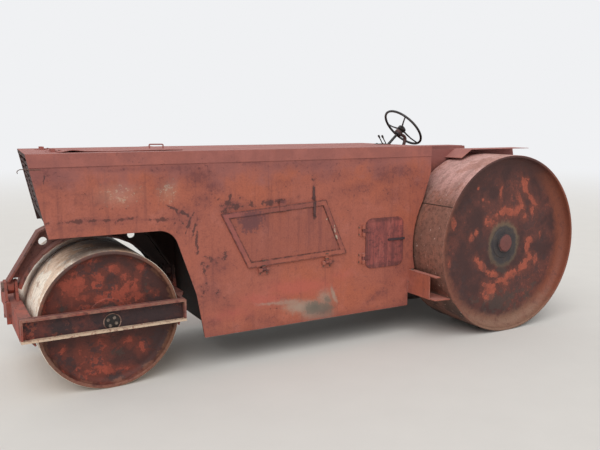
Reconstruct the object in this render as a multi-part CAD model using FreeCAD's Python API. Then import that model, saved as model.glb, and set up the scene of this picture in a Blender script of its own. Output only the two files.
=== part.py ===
import FreeCAD
import Part
import math
import os

# Road roller: a static steel-drum roller with a split front roll in a steered yoke
# and two tall rear drums, in millimetres. +X is forward, +Y left and +Z up.
# X is measured from the rear axle while drawing; each piece is shifted by -centre_x
# when it is saved, so that the origin lies on the ground under the middle of the roller.

V = FreeCAD.Vector

# Clearances and common plates
flush_gap = 0.3
running_gap = 0.05
plate = 12.0
sheet = 4.0
thin_plate = 8.0
joint_lap = 1.0

# Drums and axles
wheelbase = 3500.0
rear_radius = 800.0
rear_outer_y = 925.0
rear_width = 550.0
rear_rim = 22.0
rear_recess = 95.0
rear_cap = 88.0
spindle_radius = 70.0
front_radius = 500.0
front_outer_y = 545.0
front_gap = 12.0
front_rim = 28.0
front_recess = 60.0
front_hub = 85.0
hub_stand = 20.0
axle_radius = 45.0
head_plate = 14.0

# Body shell; the nose is pushed back on the right by nose_skew
body_half = 550.0
inner_half = body_half - plate
hood_z = 1680.0
flange_depth = 90.0
body_bottom_z = 262.0
nose_bottom_z = 2 * front_radius + 112
nose_top_x = wheelbase + 505
nose_bottom_x = wheelbase + 388
nose_skew = 80.0
arch_corner_x = wheelbase - front_radius + 30
arch_foot_x = wheelbase - front_radius - 140
arch_foot_z = front_radius + 110
arch_fillet = 150.0
body_front_x = wheelbase - front_radius - 200
drum_room = 25.0
tail_x = rear_radius + drum_room + 45
tail_step_z = rear_radius - 210
tail_arc_top_z = rear_radius + 395
tail_top_x = rear_radius - 160
tail_top_z = rear_radius + 650
tail_pieces = 9

# Decks, steering head, radiator, grille and engine
deck_z = 2 * front_radius + 212
bulkhead_x = body_front_x - 150
head_radius = 100.0
head_top_z = 2 * front_radius + 400
head_rib = 20.0
radiator_x = wheelbase + 220
radiator_depth = 80.0
radiator_half = 420.0
radiator_tank = 50.0
grille_z = deck_z + 28
grille_bar = 30.0
grille_depth = 12.0
slat_count = 9
slat_half = 8.0
engine_length = 900.0
engine_half = 260.0
engine_height = 720.0
engine_rear_x = bulkhead_x - 100 - engine_length
bearer_z = 380.0
bearer_height = 100.0
bearer_half = 40.0

# Locker hatch and engine hatch; the hatch's corners are (x, z)
locker_x = (tail_x + 68, tail_x + 466)
locker_z = (643.0, 1075.0)
locker_round = 60.0
locker_hinge_x = locker_x[1] + 26
locker_hinges_z = (741.0, 977.0)
locker_bar = (175.0, 18.0, 10.0)
hatch_front_top = (body_front_x - 145, 1204.0)
hatch_rear_top = (locker_x[1] + 399, 1262.0)
hatch_rear_low = (locker_x[1] + 197, 801.0)
hatch_front_low = (body_front_x - 364, 766.0)
hatch_corners = (hatch_front_top, hatch_rear_top, hatch_rear_low, hatch_front_low)
hatch_hinge_z = 743.0
hatch_hinge_shares = (0.146, 0.787)
hatch_latch_share = 0.566
hatch_latch_half = (28.0, 43.0)
hatch_plate = 6.0
border_width = 42.0
border_height = 7.0
opening_lap = 25.0

# Hinges: a pin between two knuckles on the fixed leaf, and a knuckle on the cover
knuckle_radius = 11.0
knuckle_end = 45.0
knuckle_start = 16.0
hinge_pin_radius = 6.0
hinge_stand = 12.0

# Hood lid
lid_x = (wheelbase - 610, wheelbase + 270)
lid_half = 410.0
lid_hinges_y = (-250.0, 250.0)
lid_hinge_x = lid_x[1] + hinge_stand + 3
lid_grip = (22.0, 130.0)
lid_grip_height = 30.0
lid_grip_radius = 5.0

# Yoke and saddle, x measured from the front axle
front_beam_depth = 77.0
rear_beam_plate = 15.0
yoke_rear = front_radius + 27
yoke_front = front_radius + 28 + front_beam_depth
yoke_half = 640.0
yoke_top_z = front_radius + 105
yoke_height = 160.0
yoke_low_z = yoke_top_z - yoke_height
channel_depth = 55.0
beam_flange = 14.0
beam_end_y = yoke_half - channel_depth - beam_flange
axle_hole_radius = 58.0
rock_pin_z = front_radius + 200
rock_pin_radius = 22.0
ear_plate = 20.0
ear_half = 95.0
ear_top = 55.0
eye_length = 44.0
eye_start = front_radius + 68
eye_end = eye_start + eye_length
eye_radius = 52.0
ear_gap = 4.0
inner_ear = eye_start - ear_gap - ear_plate
outer_ear = eye_end + ear_gap
front_tip_x = wheelbase + yoke_front + 45
saddle_inner = {1: front_radius + 60, -1: front_radius + 36}
saddle_rib = 16.0
saddle_rib_low = 20.0
saddle_web = 24.0
saddle_flange_half = 110.0
saddle_edge_half = 60.0
saddle_edge = 14.0
saddle_top_z = 2 * front_radius + 190
saddle_neck = 120.0
saddle_shoulders = ((388.0, 2 * front_radius + 94), (335.0, 2 * front_radius + 120))
saddle_holes_x = {1: 350.0, -1: 307.0}
saddle_hole_z = 2 * front_radius + 16
saddle_hole_radius = 32.0
king_boss_radius = 95.0
king_pin_radius = 45.0
king_nut_radius = 62.0
king_nut_height = 24.0
scraper_drop = 110.0
scraper_room = 10.0

# Rear end and operator's place
wall_outer_y = 350.0
wall_inner_y = wall_outer_y - plate
wall_top_z = 2 * rear_radius + 40
floor_z = rear_radius + 300
panel_low_z = rear_radius - 280
rear_end_x = 160 - rear_radius
fender_outer_y = 575.0
fender_bend_x = 0.2375 * rear_radius
fender_lip_angle = 68.0
rear_blade_z = rear_radius - 420
seat_top_z = floor_z + 260
seat_box_x = (-300.0, 100.0)
seat_half = 230.0
seat_pad = 90.0
seat_back_x = (-312.0, -250.0)
seat_back_rise = 240.0
seat_post_y = (-150.0, 110.0)
seat_post_width = 40.0
seat_post_depth = 18.0
step_z = rear_radius + 80
step_depth = 67.0
hitch_z = rear_radius - 160
hitch_bore = 20.0
hitch_round = 40.0
hitch_ear = 16.0
hitch_pitch = 70.0
hitch_x = rear_end_x - 110

# Steering wheel, column, levers and pedals
wheel_centre = V(tail_top_x - 102, 0, hood_z + 158)
wheel_tilt = 47.5
wheel_radius = 208.0
wheel_rim = 11.0
wheel_flats = 36
wheel_spokes = (75, 192, 318)
wheel_dish = 22.0
wheel_spoke_radius = 6.0
wheel_hub_radius = 40.0
wheel_hub_half = 18.0
wheel_shaft_radius = 12.0
wheel_shaft_end = 100.0
column_head = (wheel_dish + wheel_hub_half + 7, 100.0)
column_head_radius = 34.0
column_radius = 13.0
stay_foot = V(tail_top_x + 6, 0, hood_z - 350)
stay_knee = V(tail_top_x - 138, 0, hood_z + 65)
stay_radius = 16.0
lever_foot_x = tail_top_x + 56
lever_lean = V(46, 0, 76)
levers_y = (-110.0, -53.0)
lever_radius = 5.0
pedals_y = (-150.0, 150.0)

centre_x = (front_tip_x - rear_radius) / 2

parts = {}


# Shapes

def box(x, y, z):
    return Part.makeBox(x[1] - x[0], y[1] - y[0], z[1] - z[0], V(x[0], y[0], z[0]))


def rod(start, end, radius):
    return Part.makeCylinder(radius, (end - start).Length, start, end - start)


def prism(start, end, radius, sides=8):
    """A straight bar with a regular section, radius across its corners."""
    turn = 360 / sides
    corners = [arc_point((0, 0), radius, turn * (number + 0.5)) for number in range(sides)]
    solid = slab_xy(corners, (0, (end - start).Length))
    solid.Placement = FreeCAD.Placement(start, FreeCAD.Rotation(V(0, 0, 1), end - start))
    return solid


def edges(path, to3d):
    """A path is a list of (a, b) corners; a corner with four numbers ends an arc,
    as (middle a, middle b, end a, end b)."""
    made = []
    here = to3d(*path[0][-2:])
    for step in list(path[1:]) + [path[0][-2:]]:
        there = to3d(*step[-2:])
        if len(step) == 4:
            made.append(Part.Arc(here, to3d(*step[:2]), there).toShape())
        elif (there - here).Length > 1e-6:
            made.append(Part.makeLine(here, there))
        here = there
    return Part.Wire(made)


def face_xz(path, y=0.0):
    return Part.Face(edges(path, lambda a, b: V(a, y, b)))


def slab_xz(path, y):
    """An outline in the XZ plane, thick from y[0] to y[1]."""
    return face_xz(path, y[0]).extrude(V(0, y[1] - y[0], 0))


def slab_xy(path, z):
    return Part.Face(edges(path, lambda a, b: V(a, b, z[0]))).extrude(V(0, 0, z[1] - z[0]))


def slab_yz(path, x):
    return Part.Face(edges(path, lambda a, b: V(x[0], a, b))).extrude(V(x[1] - x[0], 0, 0))


def turned(section, x, z):
    """A section of (radius, y) corners turned about the axle at (x, z), from the ground up."""
    face = Part.Face(edges(section, lambda r, y: V(0, y, -r)))
    solid = face.revolve(V(0, 0, 0), V(0, 1, 0), 360)
    solid.translate(V(x, 0, z))
    return solid


def arc_point(centre, radius, degrees):
    angle = math.radians(degrees)
    return (centre[0] + radius * math.cos(angle), centre[1] + radius * math.sin(angle))


def run(centre, radius, start, end, pieces):
    """Points along an arc, in short straight pieces."""
    return [arc_point(centre, radius, start + (end - start) * number / pieces) for number in range(pieces + 1)]


def between(first, last, share):
    """The point at a share of the way from first to last."""
    return tuple(a + (b - a) * share for a, b in zip(first, last))


def joined(shapes):
    return shapes[0].multiFuse(shapes[1:]).removeSplitter()


def inset(path, amount):
    """The same outline, smaller all round by amount."""
    return face_xz(path).makeOffset2D(-amount)


def thick(face, y):
    moved = face.copy()
    moved.translate(V(0, y[0], 0))
    return moved.extrude(V(0, y[1] - y[0], 0))


def mirrored(shape):
    return shape.mirror(V(0, 0, 0), V(0, 1, 0))


def keep(name, shape):
    shape = shape.removeSplitter()
    solids = shape.Solids
    if not solids or not shape.isValid() or not all(shell.isClosed() for shell in shape.Shells):
        raise ValueError(name + " is not a valid solid")
    parts[name] = solids[0] if len(solids) == 1 else Part.Compound(solids)


def keep_pair(name, shape):
    keep(name + "_left", shape)
    keep(name + "_right", mirrored(shape))


# Hinges, drawn for a hinge line along X on a face at y=0 whose cover lies towards +Z;
# placed() turns them to the real hinge.

def hinge_fixed():
    made = [rod(V(-knuckle_start - joint_lap, hinge_stand, 0), V(knuckle_start + joint_lap, hinge_stand, 0),
                hinge_pin_radius)]
    made.append(box((-knuckle_end, knuckle_end), (0, sheet), (-knuckle_end, -knuckle_radius - sheet)))
    for ends in ((-knuckle_end, -knuckle_start), (knuckle_start, knuckle_end)):
        made.append(box(ends, (0, hinge_stand + knuckle_radius), (-knuckle_radius - sheet, knuckle_radius)))
    return joined(made)


def hinge_moving(cover_face, reach):
    half = knuckle_start - 1
    leaf = box((-half, half), (cover_face, hinge_stand), (0, reach))
    knuckle = prism(V(-half, hinge_stand, 0), V(half, hinge_stand, 0), knuckle_radius, 6)
    pin = rod(V(-knuckle_end, hinge_stand, 0), V(knuckle_end, hinge_stand, 0), hinge_pin_radius + running_gap)
    return joined([leaf, knuckle]).cut(pin)


def placed(shape, along, outward, towards, point):
    matrix = FreeCAD.Matrix(along.x, outward.x, towards.x, point.x,
                            along.y, outward.y, towards.y, point.y,
                            along.z, outward.z, towards.z, point.z, 0, 0, 0, 1)
    moved = shape.copy()
    moved.Placement = FreeCAD.Placement(matrix)
    return moved


def hatch_hinges_x():
    return [between(hatch_front_low, hatch_rear_low, share)[0] for share in hatch_hinge_shares]


def hatch_hinge(shape, x):
    return placed(shape, V(1, 0, 0), V(0, 1, 0), V(0, 0, 1), V(x, body_half, hatch_hinge_z))


def locker_hinge(shape, z):
    return placed(shape, V(0, 0, 1), V(0, 1, 0), V(-1, 0, 0), V(locker_hinge_x, body_half, z))


def lid_hinge(shape, y):
    return placed(shape, V(0, -1, 0), V(0, 0, 1), V(-1, 0, 0), V(lid_hinge_x, y, hood_z))


# Drums: closed at both ends, dished on the outer side; the ballast inside isn't drawn

def rear_drum():
    inner_y = rear_outer_y - rear_width
    rim = rear_radius - rear_rim
    disc_y = rear_outer_y - rear_recess
    bore = spindle_radius + running_gap
    bore_y = disc_y - head_plate
    section = [(bore, inner_y), (rear_radius, inner_y), (rear_radius, rear_outer_y), (rim, rear_outer_y),
               (rim, disc_y), (rear_cap, disc_y),
               (rear_cap, disc_y + hub_stand), (0, disc_y + hub_stand), (0, bore_y), (bore, bore_y)]
    return turned(section, 0, rear_radius)


def front_drum():
    inner_y = front_gap / 2
    rim = front_radius - front_rim
    disc_y = front_outer_y - front_recess
    bore = axle_radius + running_gap
    section = [(bore, inner_y), (front_radius, inner_y), (front_radius, front_outer_y), (rim, front_outer_y),
               (rim, disc_y), (front_hub, disc_y), (front_hub, front_outer_y + hub_stand),
               (bore, front_outer_y + hub_stand)]
    return turned(section, wheelbase, front_radius)


# Side plates and hatches

def tail_run(thickness=0.0):
    """Points over the drum, from the step up to the plate's top corner."""
    radius = rear_radius + drum_room
    low, high = [math.degrees(math.asin((z - rear_radius) / radius)) for z in (tail_step_z, tail_arc_top_z)]
    points = run((0, rear_radius), radius, low, high, tail_pieces)
    return [(x + thickness, z) for x, z in points]


def arch_fillet_points():
    """Tangent points and middle of the fillet in the front arch's upper corner."""
    corner = V(arch_corner_x, 0, nose_bottom_z)
    down = V(arch_foot_x, 0, arch_foot_z) - corner
    down.normalize()
    ahead = V(1, 0, 0)
    half = ahead.getAngle(down) / 2
    reach = arch_fillet / math.tan(half)
    first = corner + ahead * reach
    last = corner + down * reach
    bisector = ahead + down
    bisector.normalize()
    middle = corner + bisector * (arch_fillet / math.sin(half) - arch_fillet)
    return first, middle, last


def side_outline(set_back):
    first, middle, last = arch_fillet_points()
    return [(nose_top_x - set_back, hood_z - sheet), (nose_bottom_x - set_back, nose_bottom_z),
            (first.x, first.z), (middle.x, middle.z, last.x, last.z), (arch_foot_x, arch_foot_z),
            (body_front_x, body_bottom_z), (tail_x, body_bottom_z), (tail_x, tail_step_z)] + tail_run() + [
            (tail_top_x, tail_top_z), (tail_top_x, hood_z - sheet)]


def locker_outline():
    x0, x1 = locker_x
    z0, z1 = locker_z
    r = locker_round
    corners = ((x1 - r, z0 + r, -90), (x1 - r, z1 - r, 0), (x0 + r, z1 - r, 90), (x0 + r, z0 + r, 180))
    return [point for cx, cz, start in corners for point in run((cx, cz), r, start, start + 90, 3)]


def side_plate(set_back):
    """One slab side; set_back moves its front edge to the rear."""
    shape = slab_xz(side_outline(set_back), (inner_half, body_half))
    through = (inner_half - joint_lap, body_half + joint_lap)
    shape = shape.cut(thick(inset(hatch_corners, opening_lap), through))
    shape = shape.cut(thick(inset(locker_outline(), opening_lap), through))
    fixed = [hatch_hinge(hinge_fixed(), x) for x in hatch_hinges_x()]
    fixed += [locker_hinge(hinge_fixed(), z) for z in locker_hinges_z]
    return joined([shape] + fixed)


def engine_hatch():
    face = body_half + flush_gap
    outer = face + hatch_plate
    panel = slab_xz(hatch_corners, (face, outer))
    border = slab_xz(hatch_corners, (outer, outer + border_height))
    inside = (outer - joint_lap, outer + border_height + joint_lap)
    made = [panel, border.cut(thick(inset(hatch_corners, border_width), inside))]
    x, z = between(hatch_front_top, hatch_rear_top, hatch_latch_share)
    half_x, half_z = hatch_latch_half
    made.append(box((x - half_x, x + half_x), (outer, outer + 2 * border_height), (z - half_z, z + half_z)))
    made += [hatch_hinge(hinge_moving(flush_gap + hatch_plate, 90), hx) for hx in hatch_hinges_x()]
    return joined(made)


def locker_hatch():
    face = body_half + flush_gap
    outer = face + hatch_plate
    length, height, stand = locker_bar
    middle_z = sum(locker_z) / 2
    made = [slab_xz(locker_outline(), (face, outer))]
    made.append(box((locker_x[0] - 10, locker_x[0] - 10 + length), (outer, outer + stand),
                    (middle_z + 12, middle_z + 12 + height)))
    made += [locker_hinge(hinge_moving(flush_gap + hatch_plate, 70), z) for z in locker_hinges_z]
    return joined(made)


# Hood, lid, grille and what stands behind it

def nose_x(z):
    """The left side's front edge at a height."""
    share = (z - nose_bottom_z) / (hood_z - sheet - nose_bottom_z)
    return nose_bottom_x + (nose_top_x - nose_bottom_x) * share


def skewed(rear_x, front_x, half, z):
    """A level plate whose front edge runs back to the right with the nose."""
    back = nose_skew * half / body_half
    return slab_xy([(rear_x, -half), (front_x - back, -half), (front_x, half), (rear_x, half)], z)


def hood_flange(side, set_back):
    path = [(tail_top_x, hood_z - flange_depth), (tail_top_x, hood_z), (nose_top_x - set_back, hood_z),
            (nose_x(hood_z - flange_depth) - set_back, hood_z - flange_depth)]
    return slab_xz(path, sorted((side * body_half, side * (body_half + sheet))))


def hood_top():
    top = skewed(tail_top_x, nose_top_x, body_half, (hood_z - sheet, hood_z))
    opening = box((lid_x[0] + opening_lap, lid_x[1] - opening_lap),
                  (opening_lap - lid_half, lid_half - opening_lap), (hood_z - 2 * sheet, hood_z + sheet))
    fixed = [lid_hinge(hinge_fixed(), y) for y in lid_hinges_y]
    return joined([top.cut(opening), hood_flange(1, 0), hood_flange(-1, nose_skew)] + fixed)


def hood_lid():
    face = hood_z + flush_gap
    outer = face + sheet
    made = [box(lid_x, (-lid_half, lid_half), (face, outer))]
    feet = [lid_x[0] + along for along in lid_grip]
    top = outer + lid_grip_height
    for x in feet:
        made.append(prism(V(x, 0, outer - joint_lap), V(x, 0, top), lid_grip_radius, 6))
    made.append(prism(V(feet[0] - 8, 0, top), V(feet[1] + 8, 0, top), lid_grip_radius + joint_lap, 6))
    made += [lid_hinge(hinge_moving(flush_gap + sheet, 60), y) for y in lid_hinges_y]
    return joined(made)


def grille():
    """Drawn upright at x=0, then leaned to the rake of the nose and turned to its skew."""
    rake = math.atan2(nose_top_x - nose_bottom_x, hood_z - sheet - nose_bottom_z)
    tall = (hood_z - sheet - grille_z) / math.cos(rake) - sheet
    half = inner_half + 2 * sheet
    x = (-sheet - grille_depth, -sheet)
    made = [box(x, (-half, half), (0, grille_bar)), box(x, (-half, half), (tall - grille_bar, tall))]
    for centre, width in ((-inner_half, 3 * grille_bar), (inner_half, 3 * grille_bar), (0, grille_bar / 2)):
        made.append(box(x, (centre - width / 2, centre + width / 2), (0, tall)))
    pitch = (tall - 2 * grille_bar) / (slat_count + 1)
    for number in range(slat_count):
        z = grille_bar + pitch * (number + 1)
        made.append(slab_xz([(x[0] + 2, z - slat_half), (x[0] + 5, z - slat_half), (x[1] - 2, z + slat_half),
                             (x[1] - 5, z + slat_half)], (-inner_half, inner_half)))
    shape = joined(made)
    shape.rotate(V(0, 0, 0), V(0, 1, 0), math.degrees(rake))
    shape.rotate(V(0, inner_half, 0), V(0, 0, 1), -math.degrees(math.atan2(nose_skew, 2 * body_half)))
    shape.translate(V(nose_x(grille_z), 0, grille_z))
    room = box((bulkhead_x, nose_top_x + plate), (-inner_half, inner_half), (deck_z, hood_z - sheet - flush_gap))
    return shape.common(room)


def radiator():
    low = deck_z + plate
    top = hood_z - sheet - radiator_tank
    x = (radiator_x, radiator_x + radiator_depth)
    tank_x = (x[0] - 10, x[1] + 10)
    core = box(x, (-radiator_half + 20, radiator_half - 20), (low + radiator_tank, top - radiator_tank))
    foot = box(tank_x, (-radiator_half, radiator_half), (low, low + radiator_tank))
    head = box(tank_x, (-radiator_half, radiator_half), (top - radiator_tank, top))
    middle = sum(x) / 2
    neck = prism(V(middle, 0, top), V(middle, 0, top + radiator_tank / 2), 32)
    return joined([core, foot, head, neck])


def front_deck():
    """The deck over the front roll, with the steering head that holds the king pin."""
    made = [skewed(bulkhead_x, nose_bottom_x + 15, inner_half, (deck_z, deck_z + plate))]
    made.append(prism(V(wheelbase, 0, saddle_top_z + flush_gap), V(wheelbase, 0, head_top_z), head_radius, 16))
    for side in (-1, 1):
        path = [(side * head_radius * 0.9, deck_z + plate), (side * (inner_half - 40), deck_z + plate),
                (side * head_radius * 0.9, head_top_z - 20)]
        made.append(slab_yz(path, (wheelbase - head_rib / 2, wheelbase + head_rib / 2)))
    bore = rod(V(wheelbase, 0, saddle_top_z - plate), V(wheelbase, 0, head_top_z + plate),
               king_pin_radius + running_gap)
    return joined(made).cut(bore)


def belly_pan():
    return box((tail_x + thin_plate, bulkhead_x), (-inner_half, inner_half),
               (body_bottom_z, body_bottom_z + thin_plate))


def front_bulkhead():
    return box((bulkhead_x, bulkhead_x + plate), (-inner_half, inner_half), (body_bottom_z, deck_z))


def engine_bearers():
    made = []
    for share in (0.11, 0.89):
        x = engine_rear_x + engine_length * share
        made.append(box((x - bearer_half, x + bearer_half), (-inner_half, inner_half),
                        (bearer_z, bearer_z + bearer_height)))
    return Part.Compound(made)


def engine():
    z = bearer_z + bearer_height
    return box((engine_rear_x, engine_rear_x + engine_length), (-engine_half, engine_half), (z, z + engine_height))


# Rear end

def wheelhouse():
    """The curved wall between the side plate and the operator's wall, in front of the drum."""
    y = (wall_outer_y, inner_half)
    step_x = tail_run()[0][0]
    top = hood_z - sheet
    shell = slab_xz(tail_run() + [(tail_top_x, tail_top_z), (tail_top_x, top), (tail_top_x + thin_plate, top),
                                  (tail_top_x + thin_plate, tail_top_z + 2)] + tail_run(thin_plate)[::-1], y)
    lower = box((tail_x, tail_x + thin_plate), y, (body_bottom_z, tail_step_z + thin_plate))
    shelf = box((step_x, tail_x + thin_plate), y, (tail_step_z, tail_step_z + thin_plate))
    return joined([shell, lower, shelf])


def rear_wall():
    front = tail_x + 30
    path = [(front, body_bottom_z + 40), (front, wall_top_z), (rear_end_x + 80, wall_top_z),
            (rear_end_x, rear_radius + 450), (rear_end_x, panel_low_z), (front / 2, rear_radius - 370)]
    shape = slab_xz(path, (wall_inner_y, wall_outer_y))
    hole = prism(V(0, wall_inner_y - joint_lap, rear_radius), V(0, wall_outer_y + joint_lap, rear_radius),
                 spindle_radius + 4, 12)
    return shape.cut(hole)


def rear_axle():
    """A cast housing, taller in the middle, with a spindle out to each drum's hub."""
    half, tall, low, depth = 240, 170, 110, 160
    path = []
    for up in (-1, 1):
        for y in (-wall_inner_y * up, -half * up, half * up, wall_inner_y * up)[::-1]:
            path.append((y, rear_radius + up * (tall if abs(y) == half else low)))
    housing = slab_yz(path, (-depth, depth))
    end_y = rear_outer_y - rear_recess - head_plate - joint_lap
    return joined([housing, rod(V(0, -end_y, rear_radius), V(0, end_y, rear_radius), spindle_radius)])


def fender():
    lip_x, lip_z = arc_point((0, rear_radius), rear_radius + drum_room, fender_lip_angle)
    rear = rear_end_x + 100
    path = [(rear, wall_top_z), (fender_bend_x, wall_top_z), (lip_x, lip_z), (lip_x - 2, lip_z + sheet),
            (fender_bend_x + 1, wall_top_z + sheet), (rear, wall_top_z + sheet)]
    return slab_xz(path, (wall_outer_y, fender_outer_y))


def rear_scraper():
    """Bracket on the tail, with a blade that reaches the drum."""
    tip_x = math.sqrt((rear_radius + scraper_room) ** 2 - (rear_blade_z - rear_radius) ** 2)
    face = tail_x - thin_plate
    y = (rear_outer_y - rear_width + 25, rear_outer_y - 80)
    made = [box((face, tail_x), y, (rear_blade_z, tail_step_z))]
    made.append(box((face - 42, tail_x), (body_half + 5, rear_outer_y), (tail_step_z - thin_plate, tail_step_z)))
    made.append(box((face - 30, tail_x), y, (rear_blade_z, rear_blade_z + thin_plate)))
    blade = [(face, rear_blade_z), (tip_x, rear_blade_z - thin_plate), (tip_x, rear_blade_z),
             (face, rear_blade_z + thin_plate)]
    made.append(slab_xz(blade, (y[0], rear_outer_y - 15)))
    return joined(made)


def operator_floor():
    return box((rear_end_x, tail_top_x + thin_plate), (-wall_inner_y, wall_inner_y), (floor_z - thin_plate, floor_z))


def dash():
    return box((tail_top_x, tail_top_x + thin_plate), (-wall_inner_y, wall_inner_y), (floor_z, hood_z - sheet))


def rear_panel():
    panel_x = rear_end_x - thin_plate
    panel = box((panel_x, rear_end_x), (-wall_outer_y, wall_outer_y), (panel_low_z, floor_z))
    step = box((panel_x - step_depth, panel_x), (-200, 200), (step_z, step_z + thin_plate))
    return joined([panel, step])


def rear_hitch():
    """Two ears on a backing plate, with a hole for the tow pin."""
    panel_x = rear_end_x - thin_plate
    top = hitch_z + hitch_pitch + hitch_ear
    made = [box((panel_x - 10, panel_x), (-110, 110), (hitch_z - 30, top + 30))]
    tip_x = hitch_x - hitch_round
    for z in (hitch_z, hitch_z + hitch_pitch):
        path = [(panel_x, -90), (hitch_x, -hitch_round), (tip_x, -hitch_round / 2), (tip_x, hitch_round / 2),
                (hitch_x, hitch_round), (panel_x, 90)]
        made.append(slab_xy(path, (z, z + hitch_ear)))
    bore = rod(V(hitch_x, 0, hitch_z - joint_lap), V(hitch_x, 0, top + joint_lap), hitch_bore)
    return joined(made).cut(bore)


def seat_box():
    made = [box(seat_box_x, (10 - seat_half, seat_half - 10), (floor_z, seat_top_z))]
    outer_x = seat_back_x[0] - seat_post_depth
    for y in seat_post_y:
        across = (y, y + seat_post_width)
        made.append(box((outer_x, seat_box_x[0]), across, (seat_top_z - 120, seat_top_z)))
        made.append(box((outer_x, seat_back_x[0]), across, (seat_top_z, seat_top_z + seat_back_rise - 40)))
    return joined(made)


def seat_cushion():
    return box((seat_back_x[1], seat_box_x[1] + 30), (-seat_half, seat_half), (seat_top_z, seat_top_z + seat_pad))


def seat_back():
    return box(seat_back_x, (-seat_half, seat_half), (seat_top_z + flush_gap, seat_top_z + seat_back_rise))


# Steering wheel and controls

def wheel_axis():
    tilt = math.radians(wheel_tilt)
    return V(-math.sin(tilt), 0, math.cos(tilt))


def steering_wheel():
    """Drawn flat with its shaft down, then tilted; the hub lies below the rim by wheel_dish."""
    rim_ends = (V(0, 0, -wheel_rim), V(0, 0, wheel_rim))
    rim = prism(*rim_ends, wheel_radius + wheel_rim, wheel_flats)
    rim = rim.cut(prism(*rim_ends, wheel_radius - wheel_rim, wheel_flats))
    hub_z = (-wheel_dish - wheel_hub_half, -wheel_dish + wheel_hub_half)
    made = [rim, prism(V(0, 0, hub_z[0]), V(0, 0, hub_z[1]), wheel_hub_radius, 12)]
    made.append(rod(V(0, 0, -wheel_shaft_end), V(0, 0, hub_z[0] + joint_lap), wheel_shaft_radius))
    for degrees in wheel_spokes:
        inner = V(*arc_point((0, 0), wheel_hub_radius / 2, degrees), -wheel_dish)
        outer = V(*arc_point((0, 0), wheel_radius - wheel_rim / 2, degrees), 0)
        made.append(prism(inner, outer, wheel_spoke_radius, 6))
    shape = joined(made)
    # The spokes' angles count from the operator's left towards the lower rim
    forward = V(math.cos(math.radians(wheel_tilt)), 0, math.sin(math.radians(wheel_tilt)))
    turn = FreeCAD.Rotation(V(0, 1, 0), -forward, wheel_axis(), "ZXY")
    shape.Placement = FreeCAD.Placement(wheel_centre, turn)
    return shape


def steering_column():
    """Bearing under the wheel, the column down to the hood and the stay up from the dash."""
    axis = wheel_axis()
    near, far = [wheel_centre - axis * along for along in column_head]
    foot = wheel_centre - axis * ((wheel_centre.z - hood_z) / axis.z)
    column = prism(far - (far - near) * 0.2, foot - axis * plate, column_radius)
    flange = prism(foot, foot + V(0, 0, sheet), 2 * column_radius)
    arm = prism(stay_knee, (near + far) * 0.5, stay_radius * 0.75)
    stay = prism(stay_foot, stay_knee, stay_radius)
    shape = joined([prism(far, near, column_head_radius, 12), column, flange, arm, stay])
    below_hood = box((tail_top_x, foot.x + 100), (-50, 50), (hood_z - 60, hood_z))
    behind_dash = box((tail_top_x, tail_top_x + 100), (-50, 50), (stay_foot.z - 50, hood_z))
    bore = rod(wheel_centre - axis * (wheel_shaft_end + 2), wheel_centre, wheel_shaft_radius + running_gap)
    return shape.cut(below_hood).cut(behind_dash).cut(bore)


def pedals():
    """An arm from the dash with a pad, once for each foot."""
    arm = [(0, 300), (0, 340), (-50, 130), (-80, 115), (-80, 100), (-40, 110)]
    pad = [(-88, 70), (-80, 66), (-50, 132), (-58, 136)]
    made = []
    for y in pedals_y:
        pieces = []
        for path, half in ((arm, 6), (pad, 40)):
            moved = [(tail_top_x + x, floor_z + z) for x, z in path]
            pieces.append(slab_xz(moved, (y - half, y + half)))
        made.append(joined(pieces))
    return Part.Compound(made)


def control_levers():
    made = [box((lever_foot_x - 25, lever_foot_x + 75), (levers_y[0] - 25, levers_y[1] + 20), (hood_z, hood_z + 6))]
    for y in levers_y:
        foot = V(lever_foot_x, y, hood_z + 3)
        made.append(prism(foot, foot + lever_lean, lever_radius, 6))
        made.append(prism(foot + lever_lean * 0.75, foot + lever_lean * 1.05, 1.6 * lever_radius, 6))
    return joined(made)


# Front yoke

def yoke_side():
    """One side beam: a channel, open outwards, with the axle's hole in its web."""
    web = (beam_end_y, beam_end_y + beam_flange)
    x = (wheelbase - yoke_rear, wheelbase + yoke_front)
    made = [box(x, web, (yoke_low_z, yoke_top_z))]
    made.append(box(x, (web[0], yoke_half), (yoke_top_z - beam_flange, yoke_top_z)))
    made.append(box(x, (web[0], yoke_half), (yoke_low_z, yoke_low_z + beam_flange)))
    for end in (x[0], x[1] - beam_flange):
        made.append(box((end, end + beam_flange), (web[0], yoke_half), (yoke_low_z, yoke_top_z)))
    hole = rod(V(wheelbase, web[0] - joint_lap, front_radius), V(wheelbase, web[1] + joint_lap, front_radius),
               axle_hole_radius)
    return joined(made).cut(hole)


def ear(start, foot_z):
    """A lug across the rocking pin, narrower over the pin."""
    bend_z = yoke_top_z + joint_lap
    half = [(ear_half, foot_z), (ear_half, bend_z), (ear_top, rock_pin_z),
            (ear_top * 0.7, rock_pin_z + ear_top * 0.7), (0, rock_pin_z + ear_top)]
    path = half + [(-y, z) for y, z in half[-2::-1]]
    return slab_yz(path, (start, start + ear_plate))


def rock_pin_bore():
    reach = yoke_front + 80
    return prism(V(wheelbase - reach, 0, rock_pin_z), V(wheelbase + reach, 0, rock_pin_z),
                 rock_pin_radius + flush_gap, 12)


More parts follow.
